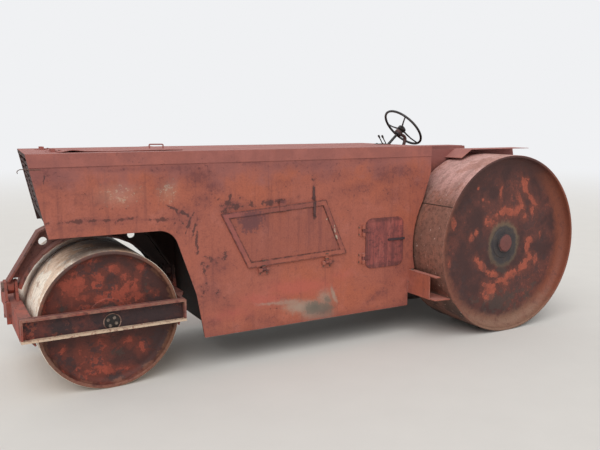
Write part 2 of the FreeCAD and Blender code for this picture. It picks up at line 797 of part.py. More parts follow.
def yoke_front_beam():
    """A box beam with the two lugs of the front rocking pin and a rib on either side of them."""
    x = (wheelbase + yoke_front - front_beam_depth, wheelbase + yoke_front)
    tip = wheelbase + outer_ear
    bracket_z = yoke_low_z + 40
    beam = box(x, (-beam_end_y, beam_end_y), (yoke_low_z, yoke_top_z))
    inside = box((x[0] + plate, x[1] - plate), (-beam_end_y - joint_lap, beam_end_y + joint_lap),
                 (yoke_low_z + plate, yoke_top_z - plate))
    made = [beam.cut(inside), ear(wheelbase + inner_ear, yoke_top_z), ear(tip, bracket_z)]
    made.append(box((x[1], tip), (-ear_half, ear_half), (bracket_z, yoke_top_z)))
    for y in (-ear_half - beam_flange, ear_half):
        made.append(box((x[1], tip + ear_plate), (y, y + beam_flange), (yoke_low_z, yoke_top_z)))
    return joined(made).cut(rock_pin_bore())


def yoke_rear_beam():
    face = wheelbase - yoke_rear
    back = wheelbase - outer_ear - ear_plate
    z = (yoke_low_z, yoke_top_z)
    made = [box((face, face + rear_beam_plate), (-beam_end_y, beam_end_y), z)]
    rib = [(face, -530), (face, 530), (face - 62, 400), (face - 62, -400)]
    made.append(slab_xy(rib, (z[1] - beam_flange, z[1])))
    made.append(slab_xy(rib, (z[0], z[0] + beam_flange)))
    made.append(box((back, face), (-ear_half, ear_half), (z[1] - beam_flange, z[1])))
    for y in (-ear_half, ear_half - beam_flange):
        gusset = [(face, z[0]), (face, z[1]), (back, z[1]), (back, z[1] - 40)]
        made.append(slab_xz(gusset, (y, y + beam_flange)))
    made.append(ear(wheelbase - inner_ear - ear_plate, yoke_top_z - joint_lap))
    made.append(ear(back, yoke_top_z - joint_lap))
    return joined(made).cut(rock_pin_bore())


def rock_pins():
    made = []
    for side in (-1, 1):
        start = V(wheelbase + side * (inner_ear - 10), 0, rock_pin_z)
        end = V(wheelbase + side * (outer_ear + ear_plate), 0, rock_pin_z)
        head = V(wheelbase + side * (front_tip_x - wheelbase), 0, rock_pin_z)
        made.append(joined([prism(start, end, rock_pin_radius, 12), prism(end, head, 36, 6)]))
    return Part.Compound(made)


def front_axle():
    end = beam_end_y + beam_flange - 2
    made = [rod(V(wheelbase, -end, front_radius), V(wheelbase, end, front_radius), axle_radius)]
    for side in (-1, 1):
        start = V(wheelbase, side * (beam_end_y + joint_lap), front_radius)
        tip = V(wheelbase, side * end, front_radius)
        made.append(prism(start, tip, axle_hole_radius - flush_gap, 12))
    return joined(made)


def yoke_scraper(side):
    """A blade under a cross beam, with its edge close to the roll."""
    root = (yoke_front - front_beam_depth + 20) if side > 0 else yoke_rear - rear_beam_plate + 2
    tip_z = front_radius - scraper_drop
    tip = math.sqrt((front_radius + scraper_room) ** 2 - scraper_drop ** 2)
    blade = [(wheelbase + side * x, z) for x, z in
             ((root, yoke_low_z), (root + plate, yoke_low_z), (tip + 10, tip_z - 6), (tip, tip_z))]
    return slab_xz(blade, (20 - front_outer_y, front_outer_y - 20))


# Saddle: the goose-neck over the front roll that carries the yoke on its rocking pins

def saddle_half(side):
    """Web with its hole and slot, eye, outer edge plate and inner flange, in front (1) or behind (-1)."""
    hole_x = saddle_holes_x[side]
    neck_z = saddle_top_z - thin_plate
    low_z = rock_pin_z - eye_radius
    inner_radius = saddle_inner[side]
    rib = inner_radius + saddle_rib / 2
    foot_angle = math.degrees(math.asin((low_z - front_radius) / rib))
    centre = (0, front_radius)
    inner = run(centre, rib, 90, foot_angle, 7)
    eye_top = rock_pin_z + eye_radius * 0.85
    web = inner + [(eye_end, low_z), (eye_end, eye_top)]
    web += list(saddle_shoulders) + [(saddle_neck, neck_z), (0, neck_z)]
    # The edge plate lies along the web's outer edge, saddle_edge thick
    outer = [(eye_end, eye_top)] + list(saddle_shoulders) + [(saddle_neck, neck_z)]
    under = [(x - saddle_edge * lean, z - saddle_edge * drop)
             for (x, z), (lean, drop) in zip(outer, ((1.15, 0), (0.85, 0.65), (0.3, 1.0), (0, 1.0)))]
    edge = outer + under[::-1]

    def moved(path):
        return [(wheelbase + side * x, z) for x, z in path]

    shape = slab_xz(moved(web), (-saddle_web / 2, saddle_web / 2))
    shape = shape.cut(prism(V(wheelbase + side * hole_x, -saddle_web, saddle_hole_z),
                            V(wheelbase + side * hole_x, saddle_web, saddle_hole_z), saddle_hole_radius, 12))
    slot = sorted((wheelbase + side * inner_radius * 0.93, wheelbase + side * eye_start))
    shape = shape.cut(box(slot, (-saddle_web, saddle_web), (low_z - thin_plate, rock_pin_z + ear_top + 7)))
    eye = prism(V(wheelbase + side * eye_start, 0, rock_pin_z), V(wheelbase + side * eye_end, 0, rock_pin_z),
                eye_radius)
    outer_radius = inner_radius + saddle_rib
    flange = run(centre, inner_radius, saddle_rib_low, 90, 7) + run(centre, outer_radius, 90, saddle_rib_low, 7)
    return [shape, eye, slab_xz(moved(edge), (-saddle_edge_half, saddle_edge_half)),
            slab_xz(moved(flange), (-saddle_flange_half, saddle_flange_half))]


def saddle():
    made = saddle_half(-1) + saddle_half(1)
    nut_z = (head_top_z + 6, head_top_z + 6 + king_nut_height)
    made.append(prism(V(wheelbase, 0, front_radius + saddle_inner[-1] + sheet), V(wheelbase, 0, saddle_top_z),
                      king_boss_radius, 16))
    made.append(rod(V(wheelbase, 0, saddle_top_z), V(wheelbase, 0, nut_z[0]), king_pin_radius))
    made.append(prism(V(wheelbase, 0, nut_z[0]), V(wheelbase, 0, nut_z[1]), king_nut_radius, 6))
    return joined(made).cut(rock_pin_bore())


# The pieces

keep("side_plate_left", side_plate(0))
keep("side_plate_right", mirrored(side_plate(nose_skew)))
for name, make in (("engine_hatch", engine_hatch), ("locker_hatch", locker_hatch), ("wheelhouse", wheelhouse),
                   ("rear_wall", rear_wall), ("fender", fender), ("rear_scraper", rear_scraper),
                   ("rear_drum", rear_drum), ("front_drum", front_drum), ("yoke_side", yoke_side)):
    keep_pair(name, make())
for name, make in (("hood_top", hood_top), ("hood_lid", hood_lid), ("grille", grille), ("radiator", radiator),
                   ("front_deck", front_deck), ("front_bulkhead", front_bulkhead), ("belly_pan", belly_pan),
                   ("engine_bearers", engine_bearers), ("engine", engine), ("rear_axle", rear_axle),
                   ("operator_floor", operator_floor), ("dash", dash), ("rear_panel", rear_panel),
                   ("rear_hitch", rear_hitch), ("seat_box", seat_box), ("seat_cushion", seat_cushion),
                   ("seat_back", seat_back), ("steering_wheel", steering_wheel),
                   ("steering_column", steering_column), ("pedals", pedals),
                   ("control_levers", control_levers), ("yoke_front_beam", yoke_front_beam),
                   ("yoke_rear_beam", yoke_rear_beam), ("rock_pins", rock_pins), ("saddle", saddle),
                   ("front_axle", front_axle)):
    keep(name, make())
for name, side in (("scraper_front", 1), ("scraper_rear", -1)):
    keep(name, yoke_scraper(side))

os.makedirs("parts", exist_ok=True)
for name, shape in parts.items():
    moved = shape.copy()
    moved.translate(V(-centre_x, 0, 0))
    moved.exportStep("parts/" + name + ".step")
print(len(parts), "pieces, origin", centre_x, "ahead of the rear axle")
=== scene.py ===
import math
from itertools import product

import bmesh
import bpy
from mathutils import Matrix, Vector, noise


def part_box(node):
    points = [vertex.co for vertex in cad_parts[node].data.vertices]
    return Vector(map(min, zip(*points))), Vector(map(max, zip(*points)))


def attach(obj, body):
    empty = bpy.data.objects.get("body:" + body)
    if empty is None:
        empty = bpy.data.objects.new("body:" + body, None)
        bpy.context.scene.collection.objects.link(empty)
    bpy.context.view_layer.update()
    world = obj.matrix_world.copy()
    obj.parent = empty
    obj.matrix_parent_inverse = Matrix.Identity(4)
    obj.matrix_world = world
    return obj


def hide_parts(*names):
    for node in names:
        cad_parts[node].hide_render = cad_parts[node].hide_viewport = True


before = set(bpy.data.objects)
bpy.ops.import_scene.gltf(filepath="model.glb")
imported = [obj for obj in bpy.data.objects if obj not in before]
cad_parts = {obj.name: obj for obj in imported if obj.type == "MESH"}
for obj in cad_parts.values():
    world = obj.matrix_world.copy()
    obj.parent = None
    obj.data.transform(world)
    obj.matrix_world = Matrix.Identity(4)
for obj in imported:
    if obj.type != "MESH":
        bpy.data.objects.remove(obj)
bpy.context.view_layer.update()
scene = bpy.context.scene
print("frame loaded:", len(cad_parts), "nodes")


# Node trees: a socket that can be reckoned with, and one way to add any node

def tone(red, green, blue):  # an 8-bit screen colour as the numbers that Blender works in
    values = [v / 255 for v in (red, green, blue)]
    return tuple(v / 12.92 if v <= 0.04045 else ((v + 0.055) / 1.055) ** 2.4 for v in values) + (1.0,)


def shade(colour, by=1.0):
    return tone(*[min(v * by, 250) for v in colour])


class Sock:
    def __init__(self, graph, socket):
        self.graph, self.socket = graph, socket

    def maths(self, operation, *values):
        return self.graph.node("Math", {"operation": operation}, dict(enumerate(values)))

    def __add__(self, other):
        return self.maths("ADD", self, other)

    def __sub__(self, other):
        return self.maths("SUBTRACT", self, other)

    def __rsub__(self, other):
        return self.maths("SUBTRACT", other, self)

    def __mul__(self, other):
        return self.maths("MULTIPLY", self, other)

    def __gt__(self, other):
        return self.maths("GREATER_THAN", self, other)

    def __lt__(self, other):
        return self.maths("LESS_THAN", self, other)

    __radd__, __rmul__ = __add__, __mul__

    def most(self, other):
        return self.maths("MAXIMUM", self, other)

    def least(self, other):
        return self.maths("MINIMUM", self, other)

    def size(self):
        return self.maths("ABSOLUTE", self)

    def root(self):
        return self.maths("SQRT", self)


class Graph:
    def __init__(self, tree):
        self.tree = tree

    def node(self, kind, settings=None, values=None, out=0):
        made = self.tree.nodes.new(kind if "Node" in kind else "ShaderNode" + kind)
        for name, value in (settings or {}).items():
            setattr(made, name, value)
        for key, value in (values or {}).items():
            if isinstance(value, Sock):
                self.tree.links.new(value.socket, made.inputs[key])
            else:
                made.inputs[key].default_value = value
        return Sock(self, made.outputs[out]) if made.outputs else made

    def over(self, colour, *coats):  # lays each coat, a share and a colour or its name, over what is there
        for share, coat in coats:
            coat = paint[coat] if isinstance(coat, str) else coat
            colour = self.node("Mix", {"data_type": "RGBA"}, {0: share, 6: colour, 7: coat}, 2)
        return colour

    def fade(self, value, low, high):  # 0 at low, 1 at high, smooth between
        ends = {1: low, 2: high, 3: 0.0, 4: 1.0} if low < high else {1: high, 2: low, 3: 1.0, 4: 0.0}
        return self.node("MapRange", {"interpolation_type": "SMOOTHSTEP"}, {0: value, **ends})

    def vector(self, operation, *values, out=0):
        return self.node("VectorMath", {"operation": operation}, dict(enumerate(values)), out)

    def longer(self, vector, by):
        return self.node("VectorMath", {"operation": "SCALE"}, {0: vector, 3: by})

    def cloud(self, place, scale, detail=4.0, rough=0.55, shift=0.0, out=0):
        if shift:
            place = self.vector("ADD", place, (shift, shift * 1.7, -shift))
        values = {"Vector": place, "Scale": scale, "Detail": detail, "Roughness": rough}
        return self.node("TexNoise", {}, values, out)

    def streaks(self, place, stretch, detail, rough, shift=0.0, scale=1.0):
        return self.cloud(self.vector("MULTIPLY", place, stretch), scale, detail, rough, shift)

    def swirl(self, place, scale, detail):
        return self.vector("SUBTRACT", self.cloud(place, scale, detail, out=1), (0.5, 0.5, 0.5))

    def wobbled(self, place, amount, scale, detail=3.0):
        return self.vector("ADD", place, self.longer(self.swirl(place, scale, detail), amount))

    def flat(self, place):  # as seen square to the roller's side
        return self.vector("MULTIPLY", place, (1, 0, 1))

    def mark(self, plane, x, z, halfLong, halfWide, angle, soft):
        values = {0: plane, 1: (x, 0, z), 2: (0, -math.radians(angle), 0), 3: (halfLong, 1, halfWide)}
        away = self.node("Mapping", {"vector_type": "TEXTURE"}, values)
        return self.fade(self.vector("LENGTH", away, out=1), 1 + soft / 2, max(1 - soft, 0.05))

    def marks(self, plane, rows, soft=1.0, grow=(1, 1)):  # rows of x, z, half sizes, angle, strength
        total = None
        for x, z, halfLong, halfWide, angle, strength in rows:
            found = self.mark(plane, x, z, halfLong * grow[0], halfWide * grow[1], angle, soft) * strength
            total = found if total is None else total.most(found)
        return total

    def ragged(self, mask, specks, reach, level=0.62):  # a soft mark whose edge breaks up into specks
        return self.fade(specks + mask * reach, level, level + 0.08) * self.fade(mask, 0.0, 0.15)

    def gather(self, *geometry):
        made = self.tree.nodes.new("GeometryNodeJoinGeometry")
        for piece in geometry:
            self.tree.links.new(piece.socket, made.inputs[0])
        return Sock(self, made.outputs[0])

    def split(self, vector):
        return [self.node("SeparateXYZ", {}, {0: vector}, out) for out in range(3)]

    def seen(self):  # by the camera, by itself or in metal and glass
        direct, mirrored, through = [self.node("LightPath", out=out) for out in (0, 3, 6)]
        return direct.most(mirrored).most(through)


def newMaterial(name):
    made = bpy.data.materials.new(name)
    made.use_nodes = True
    made.node_tree.nodes.clear()
    return made, Graph(made.node_tree)


def shader(g, colour, rough, relief=None, depth=0.001, metal=0.0):
    values = {"Base Color": colour, "Roughness": rough, "Metallic": metal}
    if relief:
        values["Normal"] = g.node("Bump", {}, {"Strength": 1.0, "Distance": depth, "Height": relief})
    return g.node("BsdfPrincipled", {}, values)


def surface(g, *finish):
    g.node("OutputMaterial", {}, {"Surface": shader(g, *finish)})


def coordinates(g):
    place = g.node("TexCoord", out=3)
    return place, g.split(place), g.split(g.node("TexCoord", out=1))


def rubbedEdge(g, width):  # 1 along outer and inner edges, where a rounded normal leaves the true one
    soft = g.node("Bevel", {"samples": 4}, {"Radius": width})
    agree = g.vector("DOT_PRODUCT", soft, g.node("ShaderNodeNewGeometry", out=1), out=1)
    return g.fade(agree, 0.995, 0.90)


# Old oxide paint: faded red in clouds over purple-brown rust, with rain streaks, chips and dust

paint = {
    "base": (164, 92, 74), "warm": (170, 92, 67), "rose": (158, 99, 94), "faded": (182, 112, 98),
    "fresh": (182, 90, 80), "orange": (160, 70, 50), "stain": (108, 60, 56), "plum": (104, 56, 56),
    "rust": (74, 42, 38), "smut": (60, 41, 41), "black": (36, 27, 25), "grey": (98, 92, 82),
    "bare": (158, 138, 122), "dust": (186, 134, 124), "cream": (205, 190, 165), "ironDust": (118, 100, 88),
    "locker": (147, 76, 70), "lockerDrip": (96, 52, 54), "lockerPale": (164, 94, 86), "handle": (46, 40, 46),
    "hatchBand": (150, 84, 84), "hatchStain": (92, 56, 62), "hatchSpecks": (86, 54, 60),
    "yoke": (112, 74, 66), "web": (40, 30, 34), "webRed": (150, 74, 58), "webPatch": (128, 70, 56),
    "webSoot": (34, 27, 34), "lipWorn": (206, 182, 156), "lipRubbed": (158, 118, 98),
    "discGrey": (66, 56, 50), "discRear": (44, 34, 31), "pits": (60, 38, 34)}
paint = {name: tone(*colour) for name, colour in paint.items()}


def weathered(g, place, facing, stain=0.5, wear=0.5, base="base", warm="warm", faded="faded", dust=0.5,
              edge=0.006):
    broad = g.cloud(place, 1.3, 3)
    middle = g.cloud(place, 5.5, 6, 0.62, shift=3.1)
    grain = g.cloud(place, 26, 5, 0.68, shift=1.3)
    fine = g.cloud(place, 85, 3, 0.6)
    runs = g.streaks(place, (26, 26, 1.1), 4, 0.66, shift=7.7)
    blotch = g.cloud(place, 2.6, 8, 0.68, shift=11.3)
    specks = g.cloud(place, 33, 6, 0.72, shift=5.0)
    stained = g.fade(blotch, 0.60 - 0.14 * stain, 0.80 - 0.14 * stain) * min(0.85 * stain, 0.95)
    chips = g.fade(specks + blotch * 0.3, 0.83 - 0.08 * wear, 0.90 - 0.08 * wear)
    top = g.fade(facing[2], 0.6, 0.95)
    rubbed = rubbedEdge(g, edge) * g.fade(grain, 0.36, 0.58)
    colour = g.over(
        paint[base], (g.fade(broad, 0.38, 0.62), warm), (g.fade(middle, 0.5, 0.78) * 0.55, faded),
        (g.fade(runs, 0.52, 0.72) * 0.38, "stain"), (g.fade(runs, 0.40, 0.26) * 0.25, faded),
        (stained * (g.fade(grain, 0.36, 0.58) * 0.7 + 0.3), "stain"),
        (g.fade(grain, 0.52, 0.72) * 0.42, "stain"), (g.fade(grain, 0.40, 0.26) * 0.30, faded),
        (chips * 0.85, "rust"), (g.fade(fine, 0.38, 0.7) * 0.25, "stain"),
        (top * (g.fade(middle, 0.3, 0.7) * 0.4 + 0.6) * dust, "dust"),
        (rubbed * 0.6, "rust"), (rubbed * g.fade(middle, 0.46, 0.6) * 0.5, "dust"))
    relief = fine * 0.25 + grain * 0.5 - chips * 0.9
    return colour, relief, {"middle": middle, "blotch": blotch, "grain": grain, "fine": fine, "specks": specks}


# Marks on the slab side, each x, z, half length, half width, angle, strength
sideMarks = {
    "line": ((2.02, 1.222, 0.07, 0.015, 0, 1.0), (1.86, 1.216, 0.10, 0.009, 2, 0.7),
             (1.70, 1.214, 0.06, 0.012, 0, 0.9), (1.55, 1.200, 0.07, 0.008, 4, 0.6),
             (1.44, 1.19, 0.05, 0.013, 8, 0.8), (1.36, 1.19, 0.03, 0.012, 10, 0.7),
             (2.22, 1.222, 0.015, 0.01, 0, 0.8), (1.95, 1.24, 0.05, 0.005, 0, 0.5)),
    "scratch": ((1.345, 1.268, 0.055, 0.014, 30, 0.9), (1.27, 1.225, 0.06, 0.015, 32, 0.9),
                (1.222, 1.17, 0.05, 0.016, -62, 0.95), (1.193, 1.10, 0.06, 0.014, -72, 0.9),
                (1.176, 1.03, 0.07, 0.012, -82, 0.8), (1.17, 0.96, 0.035, 0.014, 90, 0.8),
                (1.32, 1.245, 0.04, 0.01, 60, 0.8), (1.235, 1.13, 0.06, 0.008, -65, 0.8),
                (1.25, 1.06, 0.02, 0.01, 0, 0.4), (2.222, 1.507, 0.028, 0.005, 90, 1.0),
                (1.29, 1.17, 0.03, 0.008, 40, 0.5)),
    "dark": ((0.925, 1.255, 0.05, 0.03, -35, 0.9), (0.90, 1.315, 0.012, 0.05, 0, 0.8),
             (0.86, 1.258, 0.05, 0.016, 10, 0.85), (0.555, 1.268, 0.075, 0.02, 2, 0.85),
             (0.465, 1.27, 0.05, 0.014, 0, 0.7), (0.74, 1.25, 0.07, 0.02, 0, 0.6),
             (0.17, 1.24, 0.016, 0.11, 0, 0.85), (0.175, 1.34, 0.012, 0.06, 0, 0.8),
             (0.178, 1.40, 0.008, 0.05, 0, 0.5), (1.014, 0.591, 0.022, 0.018, 0, 0.8),
             (1.11, 0.72, 0.014, 0.06, -10, 0.7), (1.12, 0.83, 0.035, 0.018, 10, 0.7),
             (-0.60, 0.868, 0.06, 0.022, 0, 0.7), (1.06, 0.86, 0.05, 0.016, 25, 0.6),
             (0.97, 0.875, 0.045, 0.02, -25, 0.6), (0.02, 0.735, 0.05, 0.02, 0, 0.6),
             (0.62, 0.735, 0.06, 0.02, 0, 0.7), (0.80, 1.31, 0.03, 0.01, 30, 0.5)),
    "purple": ((1.154, 1.496, 0.16, 0.09, 8, 0.8), (1.05, 1.42, 0.12, 0.06, 20, 0.7),
               (1.00, 0.81, 0.13, 0.09, 0, 0.5), (1.32, 1.56, 0.30, 0.035, 0, 0.6),
               (0.76, 1.60, 0.22, 0.05, 10, 0.6), (1.70, 1.56, 0.30, 0.02, 0, 0.4),
               (-0.531, 1.442, 0.20, 0.10, 10, 0.65), (-0.25, 1.34, 0.26, 0.06, -8, 0.5),
               (-0.86, 1.36, 0.10, 0.08, 0, 0.5), (-0.33, 1.585, 0.28, 0.05, 0, 0.5),
               (-0.70, 1.46, 0.24, 0.07, 5, 0.6), (-0.62, 1.27, 0.16, 0.09, 0, 0.45),
               (0.42, 1.42, 0.20, 0.05, 0, 0.3), (0.02, 1.46, 0.22, 0.07, 0, 0.4),
               (2.0, 1.60, 0.28, 0.04, 0, 0.4), (1.42, 1.45, 0.10, 0.10, 30, 0.45),
               (0.95, 0.48, 0.10, 0.10, 0, 0.4), (0.62, 0.33, 0.12, 0.05, 0, 0.4),
               (1.06, 0.37, 0.08, 0.05, 0, 0.6), (0.74, 0.37, 0.07, 0.05, 0, 0.5),
               (-0.70, 0.62, 0.10, 0.10, 0, 0.35), (1.12, 1.32, 0.10, 0.08, 0, 0.5),
               (1.86, 1.36, 0.07, 0.05, 0, 0.3), (2.22, 1.56, 0.12, 0.12, 0, 0.5),
               (-0.481, 0.395, 0.16, 0.05, -20, 0.5), (-0.60, 0.52, 0.06, 0.10, 0, 0.3),
               (1.25, 1.20, 0.16, 0.10, 0, 0.45), (0.88, 1.25, 0.14, 0.07, 0, 0.5),
               (1.05, 0.62, 0.10, 0.16, 0, 0.35), (0.3, 1.55, 0.5, 0.06, 0, 0.4),
               (1.85, 1.20, 0.3, 0.05, 0, 0.3)),
    "bare": ((0.235, 0.385, 0.19, 0.062, 6, 0.85), (0.30, 0.395, 0.15, 0.050, 6, 0.9),
             (0.45, 0.445, 0.13, 0.022, 8, 0.55), (0.06, 0.43, 0.08, 0.08, -30, 0.6),
             (0.36, 0.435, 0.13, 0.03, 12, 0.65), (0.16, 0.33, 0.13, 0.072, 0, 0.8),
             (-0.03, 0.45, 0.016, 0.08, -15, 0.8), (0.10, 0.295, 0.15, 0.042, 0, 0.6),
             (0.55, 0.455, 0.14, 0.014, 8, 0.5)),
    "grime": ((0.15, 0.360, 0.11, 0.062, 10, 0.9), (0.06, 0.345, 0.09, 0.068, 0, 0.8),
              (0.03, 0.41, 0.05, 0.04, 0, 0.5)),
    "fresh": ((0.30, 0.56, 0.34, 0.08, 4, 0.8), (0.62, 0.50, 0.24, 0.06, 6, 0.7),
              (0.9, 0.42, 0.20, 0.06, 0, 0.5), (-0.1, 0.62, 0.15, 0.06, 0, 0.4)),
    "worn": ((1.74, 1.385, 0.16, 0.07, 0, 0.8), (1.38, 1.39, 0.08, 0.08, 0, 0.8)),
    "white": ((-0.023, 1.005, 0.006, 0.011, 0, 1.0), (-0.035, 0.955, 0.006, 0.008, 0, 0.9),
              (-0.045, 0.94, 0.004, 0.004, 0, 0.9), (-0.02, 1.04, 0.004, 0.006, 0, 0.8),
              (0.05, 1.10, 0.004, 0.004, 0, 0.7)),
}
softMarks = {"purple": ("plum", 0.72, 0.42, 0.25), "fresh": ("fresh", 0.5, 0.2, 0.34),
             "bare": ("bare", 0.9, 0.25, 0.42), "grime": ("grey", 0.95, 0.45, 0.36),
             "worn": ("cream", 0.14, 0.30, 0.16)}  # colour, soft and torn share, how far the torn edge reaches
tornMarks = {"line": ("rust", "plum", 0.85, 0.26, (1.7, 1.15)), "scratch": ("smut", "plum", 0.85, 0.34, (1.3, 0.85)),
             "dark": ("smut", "plum", 0.85, 0.27, (1.25, 1.7)), "white": ("cream", "cream", 0.95, 0.5, (1.25, 1.7))}
hatch = {"corners": ((0.980, 1.204), (0.060, 1.262), (-0.142, 0.801), (0.761, 0.766)),
         "lines": ((0.003, 0.007, 0.85), (0.043, 0.009, 0.95)),  # depth inside the edge, half width, strength of the dark lines of painted shade
         "stain": (0.735, 1.134, 0.14, 0.10, 0, 0.95),
         "hinges": (0.629, 0.050), "hingeZ": 0.743, "cover": 0.5624, "leaf": 0.5542}
locker = {"x": (-0.730, -0.3625), "z": (0.6775, 1.0425), "handle": (-0.570, 0.5567, 0.880, 0.0095),
          "hinges": (0.741, 0.977), "leafX": -0.272}


def sideDetail(g, colour, place, split, found):
    left = split[1] > 0.0
    loose = g.flat(g.wobbled(g.wobbled(place, 0.07, 7.0), 0.03, 38.0, 4))
    for key, (name, share, torn, reach) in softMarks.items():
        mask = g.marks(loose, sideMarks[key]) * left
        colour = g.over(colour, (mask * share, name), (g.ragged(mask, found["specks"], reach) * torn, name))
    tight = g.flat(g.wobbled(place, 0.035, 26.0, 5))
    for key, (name, under, share, reach, grow) in tornMarks.items():
        mask = g.marks(tight, sideMarks[key], 1.1, grow) * left
        colour = g.over(colour, (mask * share * 0.55, under),
                        (g.ragged(mask, found["grain"], reach) * share * 0.8, name))
    low = g.fade(split[2] + found["middle"] * 0.12, 0.42, 0.30)
    return g.over(colour, (low * 0.45, "stain"))


def edgeLines(g, split, corners, lines):  # how far inside a polygon's edges, and dark lines at some depths
    inside = None
    for (x0, z0), (x1, z1) in zip(corners, corners[1:] + corners[:1]):
        long = math.hypot(x1 - x0, z1 - z0)
        nx, nz = (z0 - z1) / long, (x1 - x0) / long
        depth = split[0] * nx + split[2] * nz - (x0 * nx + z0 * nz)
        inside = depth if inside is None else inside.least(depth)
    total = None
    for middle, half, strength in lines:
        found = g.fade((inside - middle).size(), half, half * 0.3) * strength
        total = found if total is None else total.most(found)
    return inside, total


def hatchDetail(g, colour, place, split, found):
    # painted shade: dark lines along the cover's edge and the border's step, broken up by grain in a rust colour
    within, lines = edgeLines(g, split, hatch["corners"], hatch["lines"])
    flange, panel = g.fade(within, 0.044, 0.040), g.fade(within, 0.044, 0.050)
    drips = g.streaks(place, (15, 15, 0.9), 5, 0.7, shift=2.3)
    stain = g.mark(g.flat(g.wobbled(place, 0.10, 12, 5)), *hatch["stain"])
    return g.over(
        colour, (flange * g.fade(found["middle"], 0.35, 0.6) * 0.5, "plum"),
        (flange * g.fade(split[0], 0.72, 0.86) * 0.4, "hatchBand"), (panel * 0.22, "stain"),
        (panel * g.fade(drips, 0.48, 0.66) * 0.45, "plum"),
        (lines * g.fade(found["grain"], 0.30, 0.62) * 0.9, "rust"), (stain * 0.45, "hatchStain"),
        (g.ragged(stain, found["specks"], 0.3) * 0.6, "hatchSpecks"))


def lockerDetail(g, colour, place, split, found):
    (rearX, frontX), (lowZ, highZ) = locker["x"], locker["z"]
    handleX, handleY, handleZ, handleHalf = locker["handle"]
    rim = g.fade(split[0], frontX - 0.0125, frontX + 0.0125).most(g.fade(split[0], rearX + 0.015, rearX - 0.015))
    rim = rim.most(g.fade(split[2], lowZ + 0.0125, lowZ - 0.0125))
    rim = rim.most(g.fade(split[2], highZ - 0.0125, highZ + 0.0125))
    drips = g.streaks(place, (20, 20, 2.5), 6, 0.72, shift=2.3)
    handle = (split[1].size() > handleY) * ((split[2] - handleZ).size() < handleHalf) * (split[0] < handleX)
    return g.over(
        colour, (rim * g.fade(found["grain"], 0.3, 0.55) * 0.7, "rust"),
        (g.ragged(g.fade(found["middle"], 0.4, 0.6), found["specks"], 0.2) * 0.6, "plum"),
        (g.fade(drips, 0.46, 0.62) * 0.6, "lockerDrip"), (g.fade(drips, 0.46, 0.34) * 0.6, "lockerPale"),
        (handle * 0.9, "handle"))


def bodyPaint(name, *details, inside=0.0, topOnly=False, **how):
    made, g = newMaterial(name)
    place, split, facing = coordinates(g)
    colour, relief, found = weathered(g, place, facing, **how)
    high = g.fade(split[2] + (found["middle"] - 0.5) * 0.5, 1.40, 1.60)
    colour = g.over(colour, (high * 0.6, "rose"), (high * g.fade(found["middle"], 0.36, 0.62) * 0.30, "stain"))
    for detail in details:
        colour = detail(g, colour, place, split, found)
    if inside:  # painted shade: the surfaces behind the skin are painted near black, for the shade inside the body
        within = g.fade(split[1].size(), inside - 0.0025, inside - 0.0055)
        if topOnly:
            within = within * g.fade(split[2], 1.6785, 1.6765)
        colour = g.over(colour, (within * 0.93, "black"))
    surface(g, colour, found["fine"] * 0.2 + 0.66, relief, 0.0013)
    return made


def yokeFinish(name):
    made, g = newMaterial(name)
    place, split, facing = coordinates(g)
    x, out, z = split[0], split[1].size(), split[2]
    colour, relief, found = weathered(g, place, facing, stain=0.8, wear=1.0, base="yoke", warm="orange",
                                      faded="yoke", dust=0.35, edge=0.008)
    middle, blotch, specks, grain = [found[key] for key in ("middle", "blotch", "specks", "grain")]
    web = g.fade(out, 0.603, 0.590) * g.fade(out, 0.580, 0.584)
    ahead = g.fade(x, 2.27, 2.38)
    rear = g.fade(x, 1.75, 1.45) * g.fade(z, 0.60, 0.70) * g.fade(out, 0.5, 0.4)
    flange = g.fade(out, 0.592, 0.600)
    colour = g.over(
        colour, (g.fade(middle, 0.42, 0.58) * 0.5, "yoke"),
        (g.ragged(g.fade(blotch, 0.40, 0.62), specks, 0.16) * 0.7, "smut"),
        (web * (g.fade(middle, 0.30, 0.60) * 0.4 + 0.5), "web"),
        (web * g.ragged(ahead, specks, 0.16) * 0.8, "webRed"),
        (web * g.ragged(g.fade(blotch, 0.4, 0.6), specks, 0.18) * 0.7, "webPatch"),
        (web * g.fade(grain, 0.48, 0.34) * 0.5, "webSoot"), (rear * 0.9, "black"),
        (g.fade(z, 0.466, 0.462) * flange * g.fade(specks, 0.34, 0.52) * 0.9, "lipWorn"),
        (g.fade(z, 0.538, 0.544) * flange * g.fade(grain, 0.40, 0.60) * 0.55, "lipRubbed"))
    surface(g, colour, found["fine"] * 0.2 + 0.62, relief + grain * 0.5, 0.0018)
    return made


def darkIron(name, colour=(46, 40, 37), second=(74, 52, 42), rough=0.6, dust=0.35):
    made, g = newMaterial(name)
    place, split, facing = coordinates(g)
    broad, fine = g.cloud(place, 7, 6, 0.65), g.cloud(place, 70, 4, 0.6)
    mixed = g.over(tone(*colour), (g.fade(broad, 0.42, 0.68), tone(*second)),
                   (g.fade(fine, 0.4, 0.75) * 0.5, shade(colour, 0.6)), (g.fade(facing[2], 0.7, 1.0) * dust, "ironDust"))
    surface(g, mixed, broad * 0.35 + (rough - 0.15), fine + broad, 0.0015)
    return made


def simple(name, colour, second, rough, scale=20.0, depth=0.0008, metal=0.0):
    made, g = newMaterial(name)
    place = g.node("TexCoord", out=3)
    broad, fine = g.cloud(place, scale, 5, 0.62), g.cloud(place, scale * 9, 3)
    mixed = g.over(tone(*colour), (g.fade(broad, 0.40, 0.66), tone(*second)))
    surface(g, mixed, broad * 0.25 + (rough - 0.12), fine * 0.5 + broad, depth, metal)
    return made


